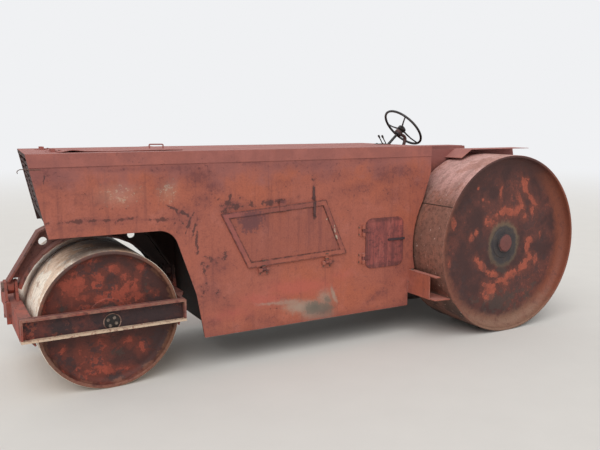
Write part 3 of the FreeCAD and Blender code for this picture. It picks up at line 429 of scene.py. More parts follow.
# What is left of the drums' paint, each x and z from the axle, half length, half width, angle, strength
rearFace = {
    "orange": ((0.616, 0.228, 0.032, 0.065, 0, 0.9), (0.648, -0.147, 0.028, 0.06, 0, 0.8),
               (0.40, 0.08, 0.035, 0.04, 0, 0.8), (0.335, 0.11, 0.03, 0.035, 0, 0.8),
               (0.268, 0.40, 0.022, 0.022, 0, 0.9), (0.335, 0.52, 0.016, 0.016, 0, 0.8),
               (0.20, 0.375, 0.02, 0.02, 0, 0.6), (0.054, 0.455, 0.022, 0.10, 0, 0.75),
               (0.19, 0.20, 0.07, 0.05, 45, 0.85), (0.12, 0.25, 0.06, 0.04, 30, 0.8),
               (0.03, 0.28, 0.07, 0.04, 0, 0.85), (-0.07, 0.28, 0.06, 0.045, -20, 0.9),
               (-0.15, 0.30, 0.06, 0.06, 0, 0.9), (-0.20, 0.35, 0.10, 0.035, 60, 0.9),
               (-0.228, 0.522, 0.11, 0.03, 70, 0.95), (-0.254, 0.576, 0.04, 0.03, 0, 0.8),
               (-0.335, 0.385, 0.12, 0.026, 45, 0.95), (-0.345, 0.27, 0.03, 0.07, 0, 0.8),
               (-0.25, 0.22, 0.05, 0.05, 0, 0.7), (-0.32, 0.0, 0.06, 0.035, 0, 0.9),
               (-0.308, -0.08, 0.03, 0.07, 0, 0.95), (-0.335, -0.16, 0.035, 0.05, 0, 0.9),
               (-0.415, -0.187, 0.03, 0.065, -10, 0.9), (-0.468, 0.027, 0.015, 0.04, 0, 0.7),
               (-0.268, -0.235, 0.10, 0.045, -38, 1.0), (-0.107, -0.308, 0.10, 0.045, -15, 1.0),
               (0.0, -0.348, 0.10, 0.035, 0, 0.9), (0.107, -0.281, 0.07, 0.03, 15, 0.9),
               (0.254, -0.20, 0.13, 0.035, 40, 1.0), (0.33, -0.12, 0.03, 0.05, 0, 0.9),
               (0.16, -0.442, 0.092, 0.088, 0, 1.0), (0.227, -0.375, 0.05, 0.05, 30, 0.7),
               (-0.40, -0.348, 0.02, 0.02, 0, 0.6), (-0.05, -0.39, 0.10, 0.03, 0, 0.6)),
    "grey": ((0.02, -0.56, 0.26, 0.12, 0, 0.9), (0.0, -0.27, 0.08, 0.08, 0, 0.7),
             (-0.35, -0.50, 0.14, 0.10, -40, 0.6), (-0.15, -0.52, 0.12, 0.08, -20, 0.7),
             (0.30, -0.52, 0.12, 0.06, 30, 0.5)),
}
frontFace = {
    "orange": ((0.235, 0.26, 0.085, 0.082, 0, 1.0), (0.06, 0.31, 0.05, 0.06, 0, 0.8),
               (-0.04, 0.35, 0.07, 0.035, 0, 0.85), (0.075, 0.243, 0.05, 0.04, 0, 0.8),
               (-0.185, 0.20, 0.08, 0.032, -62, 0.85), (0.017, 0.15, 0.12, 0.03, 0, 0.8),
               (0.168, 0.16, 0.06, 0.035, 0, 0.75), (0.15, 0.084, 0.09, 0.028, 0, 0.8),
               (-0.12, 0.30, 0.05, 0.05, 0, 0.6), (0.067, -0.20, 0.06, 0.05, 0, 0.85),
               (0.117, -0.32, 0.07, 0.09, 0, 0.75), (0.168, -0.386, 0.09, 0.04, 10, 0.75),
               (0.03, -0.386, 0.09, 0.04, 0, 0.7), (-0.134, -0.20, 0.05, 0.04, 0, 0.8),
               (-0.235, -0.252, 0.05, 0.06, 20, 0.7), (-0.10, -0.40, 0.12, 0.03, 0, 0.6),
               (0.327, -0.185, 0.04, 0.05, 0, 0.7), (0.20, -0.24, 0.05, 0.08, 0, 0.6),
               (-0.05, 0.22, 0.04, 0.04, 0, 0.6)),
    "grey": ((0.30, 0.10, 0.08, 0.08, 0, 0.5), (-0.06, -0.26, 0.10, 0.04, -10, 0.6),
             (-0.28, 0.16, 0.06, 0.10, 0, 0.5), (0.42, 0.05, 0.05, 0.14, 0, 0.5)),
}
# in both tables rimTopShade is painted shade at the rim's top, and low is a painted highlight at the rim's bottom
rearSteel = {"dark": (64, 34, 31), "second": (94, 50, 42), "patch": (176, 87, 64), "rim": (126, 74, 56),
             "rimTopShade": (78, 46, 42), "rimRear": (130, 70, 49), "low": (142, 112, 92), "tread": (138, 96, 82),
             # treadTopPaintedLight is a painted highlight at the top of these treads and painted shade at the top of
             # the front drums' treads; treadLowShade is painted shade low on the tread
             "treadTopPaintedLight": (202, 156, 148), "treadLowShade": (60, 45, 36), "dust": (190, 162, 150),
             "smear": (104, 66, 56), "tan": (156, 102, 84), "lip": (0.80, 0.90), "crownPaintedLight": (0.45, 0.80),
             "band": 4.0, "soft": 0.4, "loose": 0.35, "grain": 0.62, "soot": 0.45}
frontSteel = {"dark": (70, 36, 31), "second": (104, 50, 40), "patch": (164, 74, 54), "rim": (122, 84, 66),
              "rimTopShade": (82, 60, 54), "rimRear": (126, 86, 64), "low": (146, 92, 74), "tread": (250, 236, 218),
              "treadTopPaintedLight": (136, 114, 100), "treadLowShade": (228, 208, 186), "dust": (236, 224, 206),
              "smear": (158, 104, 78), "tan": (206, 158, 122), "lip": (0.90, 0.96), "crownPaintedLight": (0.69, 0.96),
              "band": 14.0, "soft": 0.75, "loose": 0.85, "grain": 0.32, "soot": 0.75}
rearHub = (((0.192, 0.220, 0.01), 1.08, (120, 104, 80), 0.7), ((0.172, 0.200, 0.02), 1.06, (48, 45, 49), 0.95),
           ((0.110, 0.120, 0.015), 1.05, (38, 35, 38), 0.7), ((0.078, 0.080, 0.0), 1.05, (118, 66, 60), 0.9))
frontHub = (((0.11, 0.11, 0.0), 1.1, (58, 42, 37), 0.8),)  # half sizes and drop, reach, colour, share


def drumSteel(name, axle, radius, face, faceMarks, steel, hub):
    def of(key, by=1.0):
        return shade(steel[key], by)

    made, g = newMaterial(name)
    place, split, facing = coordinates(g)
    local = g.vector("SUBTRACT", place, axle)
    x, y, z = g.split(local)
    away = (x * x + z * z).root()
    broad, middle = g.cloud(place, 3.2, 7, 0.66), g.cloud(place, 11, 7, 0.68, shift=4.0)
    grain, fine = g.cloud(place, 30, 5, 0.7, shift=6.0), g.cloud(place, 85, 4, 0.62)
    torn = g.cloud(place, 17, 8, 0.72, shift=9.0)
    side, left = split[1].size(), split[1] > 0.0

    # the dished face: paint in flakes on the left drum as marked, elsewhere by chance
    plane = g.flat(g.wobbled(g.wobbled(local, 0.07, 6.0, 4), 0.075, 17.0, 8))
    other = g.fade(g.cloud(place, 4.0, 8, 0.70, shift=21.0), 0.47, 0.66) * (1 - left * (1 - steel["loose"]))
    shown = (g.marks(plane, faceMarks["orange"], grow=(1.3, 1.3)) * left).most(other)
    flakes = g.ragged(shown, torn, 0.50, 0.755)
    soot = g.fade(g.cloud(place, 6.0, 7, 0.68, shift=13.0), 0.46, 0.62)
    grey = g.ragged(g.marks(plane, faceMarks["grey"]) * left, torn, 0.3)
    colour = g.over(
        of("dark"), (g.fade(broad, 0.42, 0.62), of("second")),
        (g.ragged(g.fade(broad, 0.48, 0.7), grain, 0.13) * 0.3, of("patch")),
        (g.fade(grain, 0.44, 0.30) * 0.6, of("dark", 0.55)),
        (g.fade(shown, 0.03, 0.5) * steel["soft"], of("patch", 0.68)),
        (flakes * 0.88, g.over(of("patch"), (g.fade(middle, 0.35, 0.65), of("patch", 0.82)))),
        (g.ragged(soot, torn, 0.22) * steel["soot"], "smut"), (grey * 0.65, "discGrey"))
    calm = g.wobbled(local, 0.055, 9.0, 6)
    for (wide, tall, low), reach, stain, share in hub:
        oval = g.vector("MULTIPLY", g.vector("ADD", calm, (0, 0, low)), (1 / wide, 0, 1 / tall))
        spot = g.fade(g.vector("LENGTH", oval, out=1) + (torn - 0.5) * 0.45, reach, reach - 0.26)
        colour = g.over(colour, (spot * share * (g.fade(middle, 0.25, 0.55) * 0.4 + 0.6), tone(*stain)))

    # the rim inside the lip, with painted shade at its top and a painted highlight, the colour named low, at its
    # bottom
    drift = (middle - 0.5) * 0.3
    ring = g.over(
        of("rim"), (g.fade(z + drift, 0.25 * radius, 0.75 * radius), of("rimTopShade")),
        (g.fade(x + drift, -0.35 * radius, -0.75 * radius), of("rimRear")),
        (g.fade(z + (middle - 0.5) * 0.5, -0.55 * radius, -1.0 * radius) * 0.75, of("low")),
        (g.fade(torn, 0.50, 0.68) * 0.6, of("second")))
    start, full = [radius * share for share in steel["lip"]]
    lip = g.fade(away + (middle - 0.5) * 0.14 + (torn - 0.5) * 0.08, start, full)

    # the tread: bands, pale dust, smears and tan places; at its top painted light, a painted highlight on the rear
    # drums and painted shade on the front ones, with fewer smears and less grain there; painted shade low down
    start, full = [radius * share for share in steel["crownPaintedLight"]]
    crownPaintedLight = g.fade(z + drift, start, full)
    bands = g.streaks(local, (0.8, steel["band"], 0.8), 6, 0.65, scale=2.0)
    dots = g.fade(g.cloud(place, 24, 3, 0.6, shift=2.0), 0.665, 0.70)
    tread = g.over(
        of("tread"), (crownPaintedLight, of("treadTopPaintedLight")), (g.fade(z, -0.2 * radius, -0.8 * radius), of("treadLowShade")),
        (g.fade(bands, 0.50, 0.66) * 0.4, of("tread", 0.72)), (g.fade(bands, 0.44, 0.30) * 0.25, of("tread", 1.1)),
        (g.fade(middle, 0.53, 0.70) * 0.35, of("smear")), (dots, of("dust")),
        (g.ragged(g.fade(middle, 0.46, 0.66), torn, 0.16) * (1 - crownPaintedLight * 0.6) * 0.6, of("smear")),
        (g.ragged(g.fade(broad, 0.44, 0.60), torn, 0.30) * 0.5, of("tan")),
        (g.fade(grain, 0.46, 0.66) * (1 - crownPaintedLight * 0.7) * steel["grain"], of("tread", 0.6)),
        (g.fade(torn, 0.46, 0.28) * 0.35, of("tread", 1.15)))
    outside = (away > radius - 0.0045) * (facing[1].size() < 0.75)
    behind = g.fade(side, face - 0.006, face - 0.03) * (1 - outside)
    colour = g.over(colour, (lip * 0.9, ring), (outside, tread), (behind * 0.85, "discRear"),
                    (g.fade(fine, 0.4, 0.75) * 0.3, "pits"))
    surface(g, colour, fine * 0.2 + 0.60, fine * 0.3 + grain * 0.5 + middle * 0.6 + flakes * 0.4, 0.0018)
    return made


def boxMiddle(node):
    low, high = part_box(node)
    return (low + high) / 2, (high - low)


rearMiddle, rearSize = boxMiddle("rear_drum_left")
frontMiddle, frontSize = boxMiddle("front_drum_left")
skin = 0.55
sidePaint = bodyPaint("sidePaint", sideDetail, inside=skin, stain=0.75, wear=0.6)
hoodPaint = bodyPaint("hoodPaint", inside=skin, topOnly=True, stain=0.6, wear=0.6, dust=0.7)
wallPaint = bodyPaint("wallPaint", stain=1.0, wear=0.8, base="stain", warm="base")
fenderPaint = bodyPaint("fenderPaint", stain=0.7, wear=0.7, dust=0.85)
hatchPaint = bodyPaint("hatchPaint", sideDetail, hatchDetail, stain=0.55)
lockerPaint = bodyPaint("lockerPaint", lockerDetail, stain=0.9, wear=1.2, base="locker", warm="fresh",
                        faded="fresh", edge=0.010)
yokePaint = yokeFinish("yokePaint")
innerPaint = darkIron("innerPaint", (40, 31, 29), (62, 40, 36), 0.75)
castIron = darkIron("castIron")
blackPaint = simple("blackPaint", (34, 33, 33), (58, 50, 46), 0.55)
grilleIron = darkIron("grilleIron", (56, 34, 31), (80, 46, 40), 0.75, dust=0.08)
rustIron = darkIron("rustIron", (84, 52, 50), (58, 38, 37), 0.7, dust=0.15)
greasyBlack = darkIron("greasyBlack", (24, 20, 19), (40, 30, 26), 0.5, dust=0.1)
stayPaint = darkIron("stayPaint", (92, 58, 54), (64, 44, 42), 0.6, dust=0.2)
wornRing = simple("wornRing", (150, 120, 106), (92, 60, 52), 0.6, 40)
axleSteel = simple("axleSteel", (104, 100, 96), (60, 48, 42), 0.45, 30, metal=0.5)
boltSteel = simple("boltSteel", (110, 84, 72), (70, 46, 40), 0.6, 60)
paleSteel = simple("paleSteel", (138, 124, 112), (84, 66, 56), 0.55, 60)
wheelPlastic = simple("wheelPlastic", (34, 32, 33), (52, 47, 45), 0.42, 35, 0.0004)
capPlastic = simple("capPlastic", (48, 52, 70), (40, 38, 46), 0.4, 35, 0.0004)
rearDrumSteel = drumSteel("rearDrumSteel", rearMiddle, rearSize.x / 2, 0.830, rearFace, rearSteel, rearHub)
frontDrumSteel = drumSteel("frontDrumSteel", frontMiddle, frontSize.x / 2, 0.485, frontFace, frontSteel, frontHub)

finishes = (
    (sidePaint, "side_plate rear_scraper"), (hoodPaint, "hood_top hood_lid"), (hatchPaint, "engine_hatch"),
    (lockerPaint, "locker_hatch"), (innerPaint, "front_deck front_bulkhead belly_pan engine_bearers"),
    (castIron, "engine rear_axle"), (blackPaint, "radiator steering_column control_levers pedals"),
    (grilleIron, "grille"), (wheelPlastic, "steering_wheel"), (greasyBlack, "front_axle"),
    (boltSteel, "rock_pins"), (rearDrumSteel, "rear_drum"), (frontDrumSteel, "front_drum"),
    (yokePaint, "saddle yoke_side yoke_front_beam yoke_rear_beam scraper_front scraper_rear"),
    (fenderPaint, "fender"))
nodeFinish = {stem: made for made, stems in finishes for stem in stems.split()}
for node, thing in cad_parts.items():
    stem = node.removesuffix("_left").removesuffix("_right")
    thing.data.materials.clear()
    thing.data.materials.append(nodeFinish.get(stem, wallPaint))
print("materials on", len(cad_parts), "nodes")


# Mesh helpers

alongX, alongY, upward = Vector((1, 0, 0)), Vector((0, 1, 0)), Vector((0, 0, 1))
sides = ((1, "left"), (-1, "right"))
centreX = 1.675  # from the rear axle, where the CAD counts from, to the roller's middle


def turns(count, more=0):  # equal angles round a circle
    return [2 * math.pi * number / count for number in range(count + more)]


def rounded(path, steps=5, closed=True):  # rows of a, b and, where a corner is rounded, its radius
    made = []
    for number, (a, b, *cut) in enumerate(path):
        here = Vector((a, b))
        ends = number in (0, len(path) - 1) and not closed
        if ends or not any(cut):
            made.append((a, b))
            continue
        before = (Vector(path[number - 1][:2]) - here).normalized()
        after = (Vector(path[(number + 1) % len(path)][:2]) - here).normalized()
        half = before.angle(after) / 2
        reach = cut[0] / math.tan(half)
        middle = here + (before + after).normalized() * (cut[0] / math.sin(half))
        first, last = here + before * reach - middle, here + after * reach - middle
        for step in range(steps + 1):
            made.append(tuple(middle + first.slerp(last, step / steps).normalized() * first.length))
    return made


def placed(name, data):
    thing = bpy.data.objects.new(name, data)
    scene.collection.objects.link(thing)
    return thing


def smooth(thing, sharp):
    mesh = thing.data
    mesh.polygons.foreach_set("use_smooth", [True] * len(mesh.polygons))
    mesh.set_sharp_from_angle(angle=math.radians(sharp))


def keep(bm, name, body, material, replaces=None, sharp=38):
    bmesh.ops.remove_doubles(bm, verts=bm.verts, dist=1e-5)
    bmesh.ops.recalc_face_normals(bm, faces=bm.faces)
    mesh = bpy.data.meshes.new(name)
    bm.to_mesh(mesh)
    bm.free()
    mesh.materials.append(material)
    thing = placed(name, mesh)
    smooth(thing, sharp)
    if body:
        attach(thing, body)
    if replaces:
        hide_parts(replaces)
    return thing


def walled(bm, rings, closed):  # faces from each ring of points to the next
    for first, last in zip(rings, rings[1:] + rings[:1] if closed else rings[1:]):
        for s in range(len(first)):
            after = (s + 1) % len(first)
            bm.faces.new((first[s], first[after], last[after], last[s]))


def spun(bm, path, start, axis, segments=48, closed=True):  # a path of (radius, along) turned about an axis
    axis = axis.normalized()
    across = axis.orthogonal().normalized()
    up = axis.cross(across)
    walled(bm, [[bm.verts.new(start + axis * along + (across * math.cos(t) + up * math.sin(t)) * radius)
                 for t in turns(segments)] for radius, along in path], closed)


def capped(bm, path, start, axis, segments=28, steps=4):  # turned, from axis to axis
    spun(bm, rounded(path, steps, closed=False), start, axis, segments, closed=False)


def block(bm, low, high, bevel, turn=None, pivot=None):
    made = bmesh.ops.create_cube(bm, size=1.0)["verts"]
    for v in made:
        v.co = Vector([(c + 0.5) * (h - l) + l for c, l, h in zip(v.co, low, high)])
    edges = {e for v in made for e in v.link_edges}
    if bevel:
        made = bmesh.ops.bevel(bm, geom=list(edges), offset=bevel, segments=2, affect="EDGES", profile=0.6)["verts"]
    if turn:
        bmesh.ops.rotate(bm, verts=made, cent=pivot, matrix=turn)
    return made


def tube(bm, points, radius, segments=12, closed=False):  # radius may be one number or one for each point
    points = [Vector(p) for p in points]
    radii = radius if isinstance(radius, (list, tuple)) else [radius] * len(points)
    rings, across = [], None
    for number, here in enumerate(points):
        before = points[number - 1] if number or closed else here
        after = points[(number + 1) % len(points)] if number < len(points) - 1 or closed else here
        along = (after - before).normalized()
        across = along.orthogonal() if across is None else across - along * across.dot(along)
        across.normalize()
        up = along.cross(across)
        rings.append([bm.verts.new(here + (across * math.cos(t) + up * math.sin(t)) * radii[number])
                      for t in turns(segments)])
    walled(bm, rings, closed)
    if not closed:
        for ring in (rings[0], rings[-1]):
            bm.faces.new(ring)


def pipe(bm, points, bend, radius, segments, steps=6):  # a tube through points, with its corners bent round
    points = [Vector(p) for p in points]
    line = [points[0]]
    for before, here, after in zip(points, points[1:], points[2:]):
        first, last = (before - here).normalized() * bend, (after - here).normalized() * bend
        for share in [step / steps for step in range(steps + 1)]:
            line.append(here + first * (1 - share) ** 2 + last * share ** 2)
    tube(bm, line + [points[-1]], radius, segments)


# Drums, turned smooth with worn edges; right ones are the left ones' mirror

rearDrum = {"radius": rearSize.x / 2, "inner": 0.375, "outer": 0.925, "rim": 0.022, "recess": 0.095,
            "bore": 0.0702, "boss": (0.13, 0.006), "sink": (0.022, 0.012), "plate": 0.140, "step": 0.007,
            "rounds": (0.005, 0.007, 0.006, 0.07), "stand": 0.020, "segments": 176, "worn": 0.0015,
            "cap": 0.088, "button": (0.078, 0.074), "dome": (0.031, 0.037), "back": 0.014}
frontDrum = {"radius": frontSize.x / 2, "inner": 0.006, "outer": 0.545, "rim": 0.028, "recess": 0.060,
             "bore": 0.0452, "boss": (0.10, 0.005), "sink": (0.02, 0.010), "plate": 0.150, "step": 0.006,
             "rounds": (0.009, 0.011, 0.008, 0.045), "stand": 0.020, "segments": 160, "worn": 0.002,
             "hub": 0.085}


def drumShell(d):  # from the bore over the inner face, tread and rim to the dished face's plate
    rim, disc = d["radius"] - d["rim"], d["outer"] - d["recess"]
    (boss, bossRound), (sink, sinkRound) = d["boss"], d["sink"]
    innerRound, outerRound, rimRound, knuckle = d["rounds"]
    return [(d["bore"], d["inner"]), (boss, d["inner"], bossRound), (boss, d["inner"] + sink, sinkRound),
            (rim, d["inner"] + sink, sinkRound), (rim, d["inner"], 0.004), (d["radius"], d["inner"], innerRound),
            (d["radius"], d["outer"], outerRound), (rim, d["outer"], rimRound), (rim, disc, knuckle),
            (d["plate"], disc, 0.004), (d["plate"] - 0.006, disc + d["step"], 0.003)]


def rearPath(d):
    disc = d["outer"] - d["recess"]
    wide, narrow = d["button"]
    return drumShell(d) + [
        (d["cap"], disc + d["step"], 0.006), (d["cap"], disc + d["stand"], 0.006), (wide, disc + d["stand"], 0.003),
        (narrow, disc + d["dome"][0], 0.012), (0, disc + d["dome"][1]), (0, disc - d["back"]),
        (d["bore"], disc - d["back"])]


def frontPath(d):
    end = d["outer"] + d["stand"]
    return drumShell(d) + [(d["hub"], d["outer"] - d["recess"] + d["step"], 0.012), (d["hub"], end, 0.006),
                           (d["bore"], end, 0.002)]


def makeDrum(name, node, path, d, material):
    middle, size = boxMiddle(node)
    side = 1 if middle.y > 0 else -1
    bm = bmesh.new()
    spun(bm, [(r, y * side) for r, y in rounded(path, 6)], Vector((middle.x, 0, middle.z)), alongY, d["segments"])
    bmesh.ops.remove_doubles(bm, verts=bm.verts, dist=1e-5)
    for v in bm.verts:  # dents and wear of a few millimetres at most
        out = Vector((v.co.x - middle.x, 0, v.co.z - middle.z))
        if out.length > 0.25:
            v.co -= out.normalized() * (noise.noise(v.co * 3.1) * 0.5 + 0.5) * d["worn"]
    keep(bm, name, node, material, replaces=node, sharp=32)


for _, name in sides:
    makeDrum("rearDrum" + name.title(), "rear_drum_" + name, rearPath(rearDrum), rearDrum, rearDrumSteel)
    makeDrum("frontDrum" + name.title(), "front_drum_" + name, frontPath(frontDrum), frontDrum, frontDrumSteel)
print("drums")


# Steering wheel, column and stay

wheel = {"tilt": 47.5, "centre": (0.538 - centreX, 0, 1.838), "radius": 0.208, "rim": 0.0112,
         "spokes": (42, 168, 285), "spokeLine": ((0.02, -0.022), (0.07, -0.022), (0.13, -0.017), (0.18, -0.006)),
         "spokeRadii": (0.0085, 0.008, 0.0068, 0.0068, 0.0075), "hub": 0.040, "shaft": 0.012}
tilt = math.radians(wheel["tilt"])
ahead, axis = Vector((math.cos(tilt), 0, math.sin(tilt))), Vector((-math.sin(tilt), 0, math.cos(tilt)))
wheelCentre = Vector(wheel["centre"])


def onWheel(radius, degrees, along=0.0):
    angle = math.radians(degrees)
    return wheelCentre + alongY * math.cos(angle) * radius + ahead * math.sin(angle) * radius + axis * along


bm = bmesh.new()
tube(bm, [onWheel(wheel["radius"], a) for a in range(0, 360, 4)], wheel["rim"], 14, closed=True)
keep(bm, "steeringRim", "steering_wheel", wheelPlastic, "steering_wheel", sharp=60)
bm = bmesh.new()
for angle in wheel["spokes"]:
    line = [onWheel(r, angle, along) for r, along in (*wheel["spokeLine"], (wheel["radius"], 0))]
    tube(bm, line, wheel["spokeRadii"], 10)
capped(bm, [(0, -0.040), (0.032, -0.040, 0.006), (wheel["hub"], -0.030, 0.005), (wheel["hub"], -0.010, 0.006),
            (0.034, -0.005, 0.003), (0, -0.005)], wheelCentre, axis, 32)
capped(bm, [(0, -0.1), (wheel["shaft"], -0.1), (wheel["shaft"], -0.035), (0, -0.035)], wheelCentre, axis, 20)
keep(bm, "steeringSpokes", "steering_wheel", wheelPlastic)
bm = bmesh.new()
capped(bm, [(0, -0.006), (0.028, -0.006), (0.027, 0.001, 0.004), (0, 0.004)], wheelCentre, axis)
keep(bm, "hornCap", "steering_wheel", capPlastic)

column = {"near": 0.0475, "far": 0.0995, "head": 0.033, "bore": wheel["shaft"] + 0.0006, "tube": 0.0125,
          "stay": 0.0155, "bend": 0.035, "clamp": (-0.088, -0.062), "hoodTop": 1.680,
          "knee": (0.502 - centreX, 0, 1.745), "dash": (0.640 - centreX - 0.0005, 0, 1.330)}
near, far, head = column["near"], column["far"], column["head"]
foot = wheelCentre - axis * ((wheelCentre.z - column["hoodTop"]) / axis.z)
bm = bmesh.new()
spun(bm, rounded([(column["bore"], -far), (head, -far, 0.005), (head, -near - 0.01, 0.004),
                  (head - 0.006, -near, 0.003), (column["bore"], -near)], 4), wheelCentre, axis, 32)
tube(bm, [wheelCentre - axis * (far - 0.004), foot], column["tube"], 18)
capped(bm, [(0, 0.0002), (0.025, 0.0002, 0.001), (0.025, 0.004, 0.001), (0.014, 0.006, 0.002), (0, 0.012)],
       Vector((foot.x, 0, column["hoodTop"])), upward, 24, 3)
keep(bm, "steeringColumn", "frame", blackPaint, "steering_column")
bm = bmesh.new()
knee, headMiddle = Vector(column["knee"]), wheelCentre - axis * (near + far) / 2
pipe(bm, [column["dash"], knee, headMiddle - (headMiddle - knee).normalized() * (head - 0.004)],
     column["bend"], column["stay"], 14)
spun(bm, [(head + out, along) for out, along in zip((0.0003, 0.004, 0.004, 0.0003), sorted(column["clamp"] * 2))],
     wheelCentre, axis, 32)
keep(bm, "columnStay", "frame", stayPaint)
print("steering wheel and column")


# Geometry Nodes: bolts on points, weld beads along lines, slats in a row

def nodeTree(name, inputs):
    tree = bpy.data.node_groups.new(name, "GeometryNodeTree")
    for way in ("INPUT", "OUTPUT"):
        tree.interface.new_socket("Geometry", in_out=way, socket_type="NodeSocketGeometry")
    for label, kind in inputs:
        tree.interface.new_socket(label, in_out="INPUT", socket_type="NodeSocket" + kind)
    g = Graph(tree)
    entry = tree.nodes.new("NodeGroupInput")
    return tree, g, {socket.name: Sock(g, socket) for socket in entry.outputs if socket.name}


def finished(g, geometry, given):
    solid = g.node("GeometryNodeRealizeInstances", {}, {0: geometry})
    painted = g.node("GeometryNodeSetMaterial", {}, {"Geometry": solid, "Material": given["Material"]})
    g.node("NodeGroupOutput", {}, {0: painted})


boltTree, g, given = nodeTree("boltHeads", (("Sides", "Int"), ("Seed", "Int"), ("Material", "Material")))
head = g.node("GeometryNodeMeshCylinder", {}, {"Vertices": given["Sides"], "Radius": 1.0, "Depth": 0.75})
head = g.node("GeometryNodeTransform", {}, {"Geometry": head, "Translation": (0, 0, 0.5)})
washer = g.node("GeometryNodeMeshCylinder", {}, {"Vertices": 14, "Radius": 1.45, "Depth": 0.22})
washer = g.node("GeometryNodeTransform", {}, {"Geometry": washer, "Translation": (0, 0, 0.08)})
aim = g.node("GeometryNodeInputNamedAttribute", {"data_type": "FLOAT_VECTOR"}, {0: "aim"})
size = g.node("GeometryNodeInputNamedAttribute", {"data_type": "FLOAT"}, {0: "size"})
spin = g.node("FunctionNodeRandomValue", {"data_type": "FLOAT"}, {2: 0.0, 3: 1.05, "Seed": given["Seed"]}, out=1)
turned = g.node("FunctionNodeAlignRotationToVector", {"axis": "Z"}, {"Vector": aim})
turned = g.node("FunctionNodeRotateRotation", {"rotation_space": "LOCAL"},
                {0: turned, 1: g.node("CombineXYZ", {}, {2: spin})})
finished(g, g.node("GeometryNodeInstanceOnPoints", {}, {
    "Points": given["Geometry"], "Instance": g.gather(head, washer), "Rotation": turned, "Scale": size}), given)

beadTree, g, given = nodeTree("weldBeads", (("Radius", "Float"), ("Pitch", "Float"), ("Material", "Material")))
line = g.node("GeometryNodeMeshToCurve", {}, {0: given["Geometry"]})
line = g.node("GeometryNodeResampleCurve", {"mode": "LENGTH"}, {"Curve": line, "Length": given["Pitch"]})
profile = g.node("GeometryNodeCurvePrimitiveCircle", {}, {"Resolution": 7, "Radius": given["Radius"]})
bead = g.node("GeometryNodeCurveToMesh", {}, {"Curve": line, "Profile Curve": profile, "Fill Caps": True})
shiver = g.longer(g.swirl(g.node("GeometryNodeInputPosition"), 110, 2), given["Radius"] * 1.6)
finished(g, g.node("GeometryNodeSetPosition", {}, {"Geometry": bead, "Offset": shiver}), given)

slatTree, g, given = nodeTree("slats", (
    ("Count", "Int"), ("Start", "Vector"), ("Step", "Vector"), ("Run", "Vector"), ("Width", "Float"),
    ("Height", "Float"), ("Tilt", "Float"), ("Material", "Material")))
line = g.node("GeometryNodeCurvePrimitiveLine", {}, {0: (0, 0, 0), 1: given["Run"]})
line = g.node("GeometryNodeSetCurveTilt", {}, {"Curve": line, "Tilt": given["Tilt"]})
profile = g.node("GeometryNodeCurvePrimitiveQuadrilateral", {}, {"Width": given["Width"], "Height": given["Height"]})
slat = g.node("GeometryNodeCurveToMesh", {}, {"Curve": line, "Profile Curve": profile, "Fill Caps": True})
row = g.node("GeometryNodeMeshLine", {"mode": "OFFSET"},
             {"Count": given["Count"], "Start Location": given["Start"], "Offset": given["Step"]})
finished(g, g.node("GeometryNodeInstanceOnPoints", {}, {"Points": row, "Instance": slat}), given)


def grown(name, tree, values, body, seed=None, turn=None):
    source = placed(name + "Seed", seed or bpy.data.meshes.new(name + "Seed"))
    modifier = source.modifiers.new("nodes", "NODES")
    modifier.node_group = tree
    for item in tree.interface.items_tree:
        if item.in_out == "INPUT" and item.name in values:
            modifier[item.identifier] = values[item.name]
    made = bpy.data.meshes.new_from_object(source.evaluated_get(bpy.context.evaluated_depsgraph_get()))
    bpy.data.objects.remove(source)
    if turn:
        made.transform(turn)
    thing = placed(name, made)
    smooth(thing, 35)
    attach(thing, body)


def bolts(name, body, material, rows, corners=6):  # rows of points, outward direction, radius
    rows = [(point, aim, radius) for points, aim, radius in rows for point in points]
    mesh = bpy.data.meshes.new(name + "Seed")
    mesh.from_pydata([row[0] for row in rows], [], [])
    mesh.attributes.new("aim", "FLOAT_VECTOR", "POINT")
    mesh.attributes["aim"].data.foreach_set("vector", [c for row in rows for c in row[1]])
    mesh.attributes.new("size", "FLOAT", "POINT")
    mesh.attributes["size"].data.foreach_set("value", [row[2] for row in rows])
    grown(name, boltTree, {"Sides": corners, "Seed": 3, "Material": material}, body, mesh)


def beads(name, body, material, lines, radius):
    mesh = bpy.data.meshes.new(name + "Seed")
    points, edges = [], []
    for path in lines:
        edges += [(len(points) + i, len(points) + i + 1) for i in range(len(path) - 1)]
        points += path
    mesh.from_pydata(points, edges, [])
    grown(name, beadTree, {"Radius": radius, "Pitch": 0.006, "Material": material}, body, mesh)


def beside(middles, off):  # a place on either side of each middle
    return [middle + way for middle in middles for way in (-off, off)]


# Bolts and welds; x is counted from the middle of the roller

bolt = {"axle": 0.0085, "small": 0.006, "rivet": 0.005, "hitch": 0.014, "screw": 0.004, "bracket": 0.010}
axleEnd = {"x": frontMiddle.x, "z": frontMiddle.z, "face": 0.583, "circle": 0.031, "angles": (0.5, 2.1, 3.6, 5.2),
           "ring": 0.060, "ringFace": 0.5855, "bead": 0.0042}


def onAxle(radius, y, t):
    return axleEnd["x"] + radius * math.cos(t), y, axleEnd["z"] + radius * math.sin(t)


for side, name in sides:
    points = [onAxle(axleEnd["circle"], side * axleEnd["face"], t) for t in axleEnd["angles"]]
    bolts("axleBolts" + name.title(), "steering", paleSteel if side > 0 else boltSteel,
          [(points, (0, side, 0), bolt["axle"])])
for side, name in sides:
    rivets = product(beside(hatch["hinges"], 0.008), (side * hatch["cover"],), beside((hatch["hingeZ"] + 0.051,), 0.021))
    bolts("hatchRivets" + name.title(), "engine_hatch_" + name, boltSteel,
          [(rivets, (0, side, 0), bolt["rivet"])], 10)
    face = (side * hatch["leaf"],)
    bolts("leafRivets" + name.title(), "frame", boltSteel,
          [(product(beside(hatch["hinges"], 0.03), face, (hatch["hingeZ"] - 0.033,)), (0, side, 0), bolt["rivet"]),
           (product((locker["leafX"],), face, beside(locker["hinges"], 0.03)), (0, side, 0), bolt["rivet"])], 10)

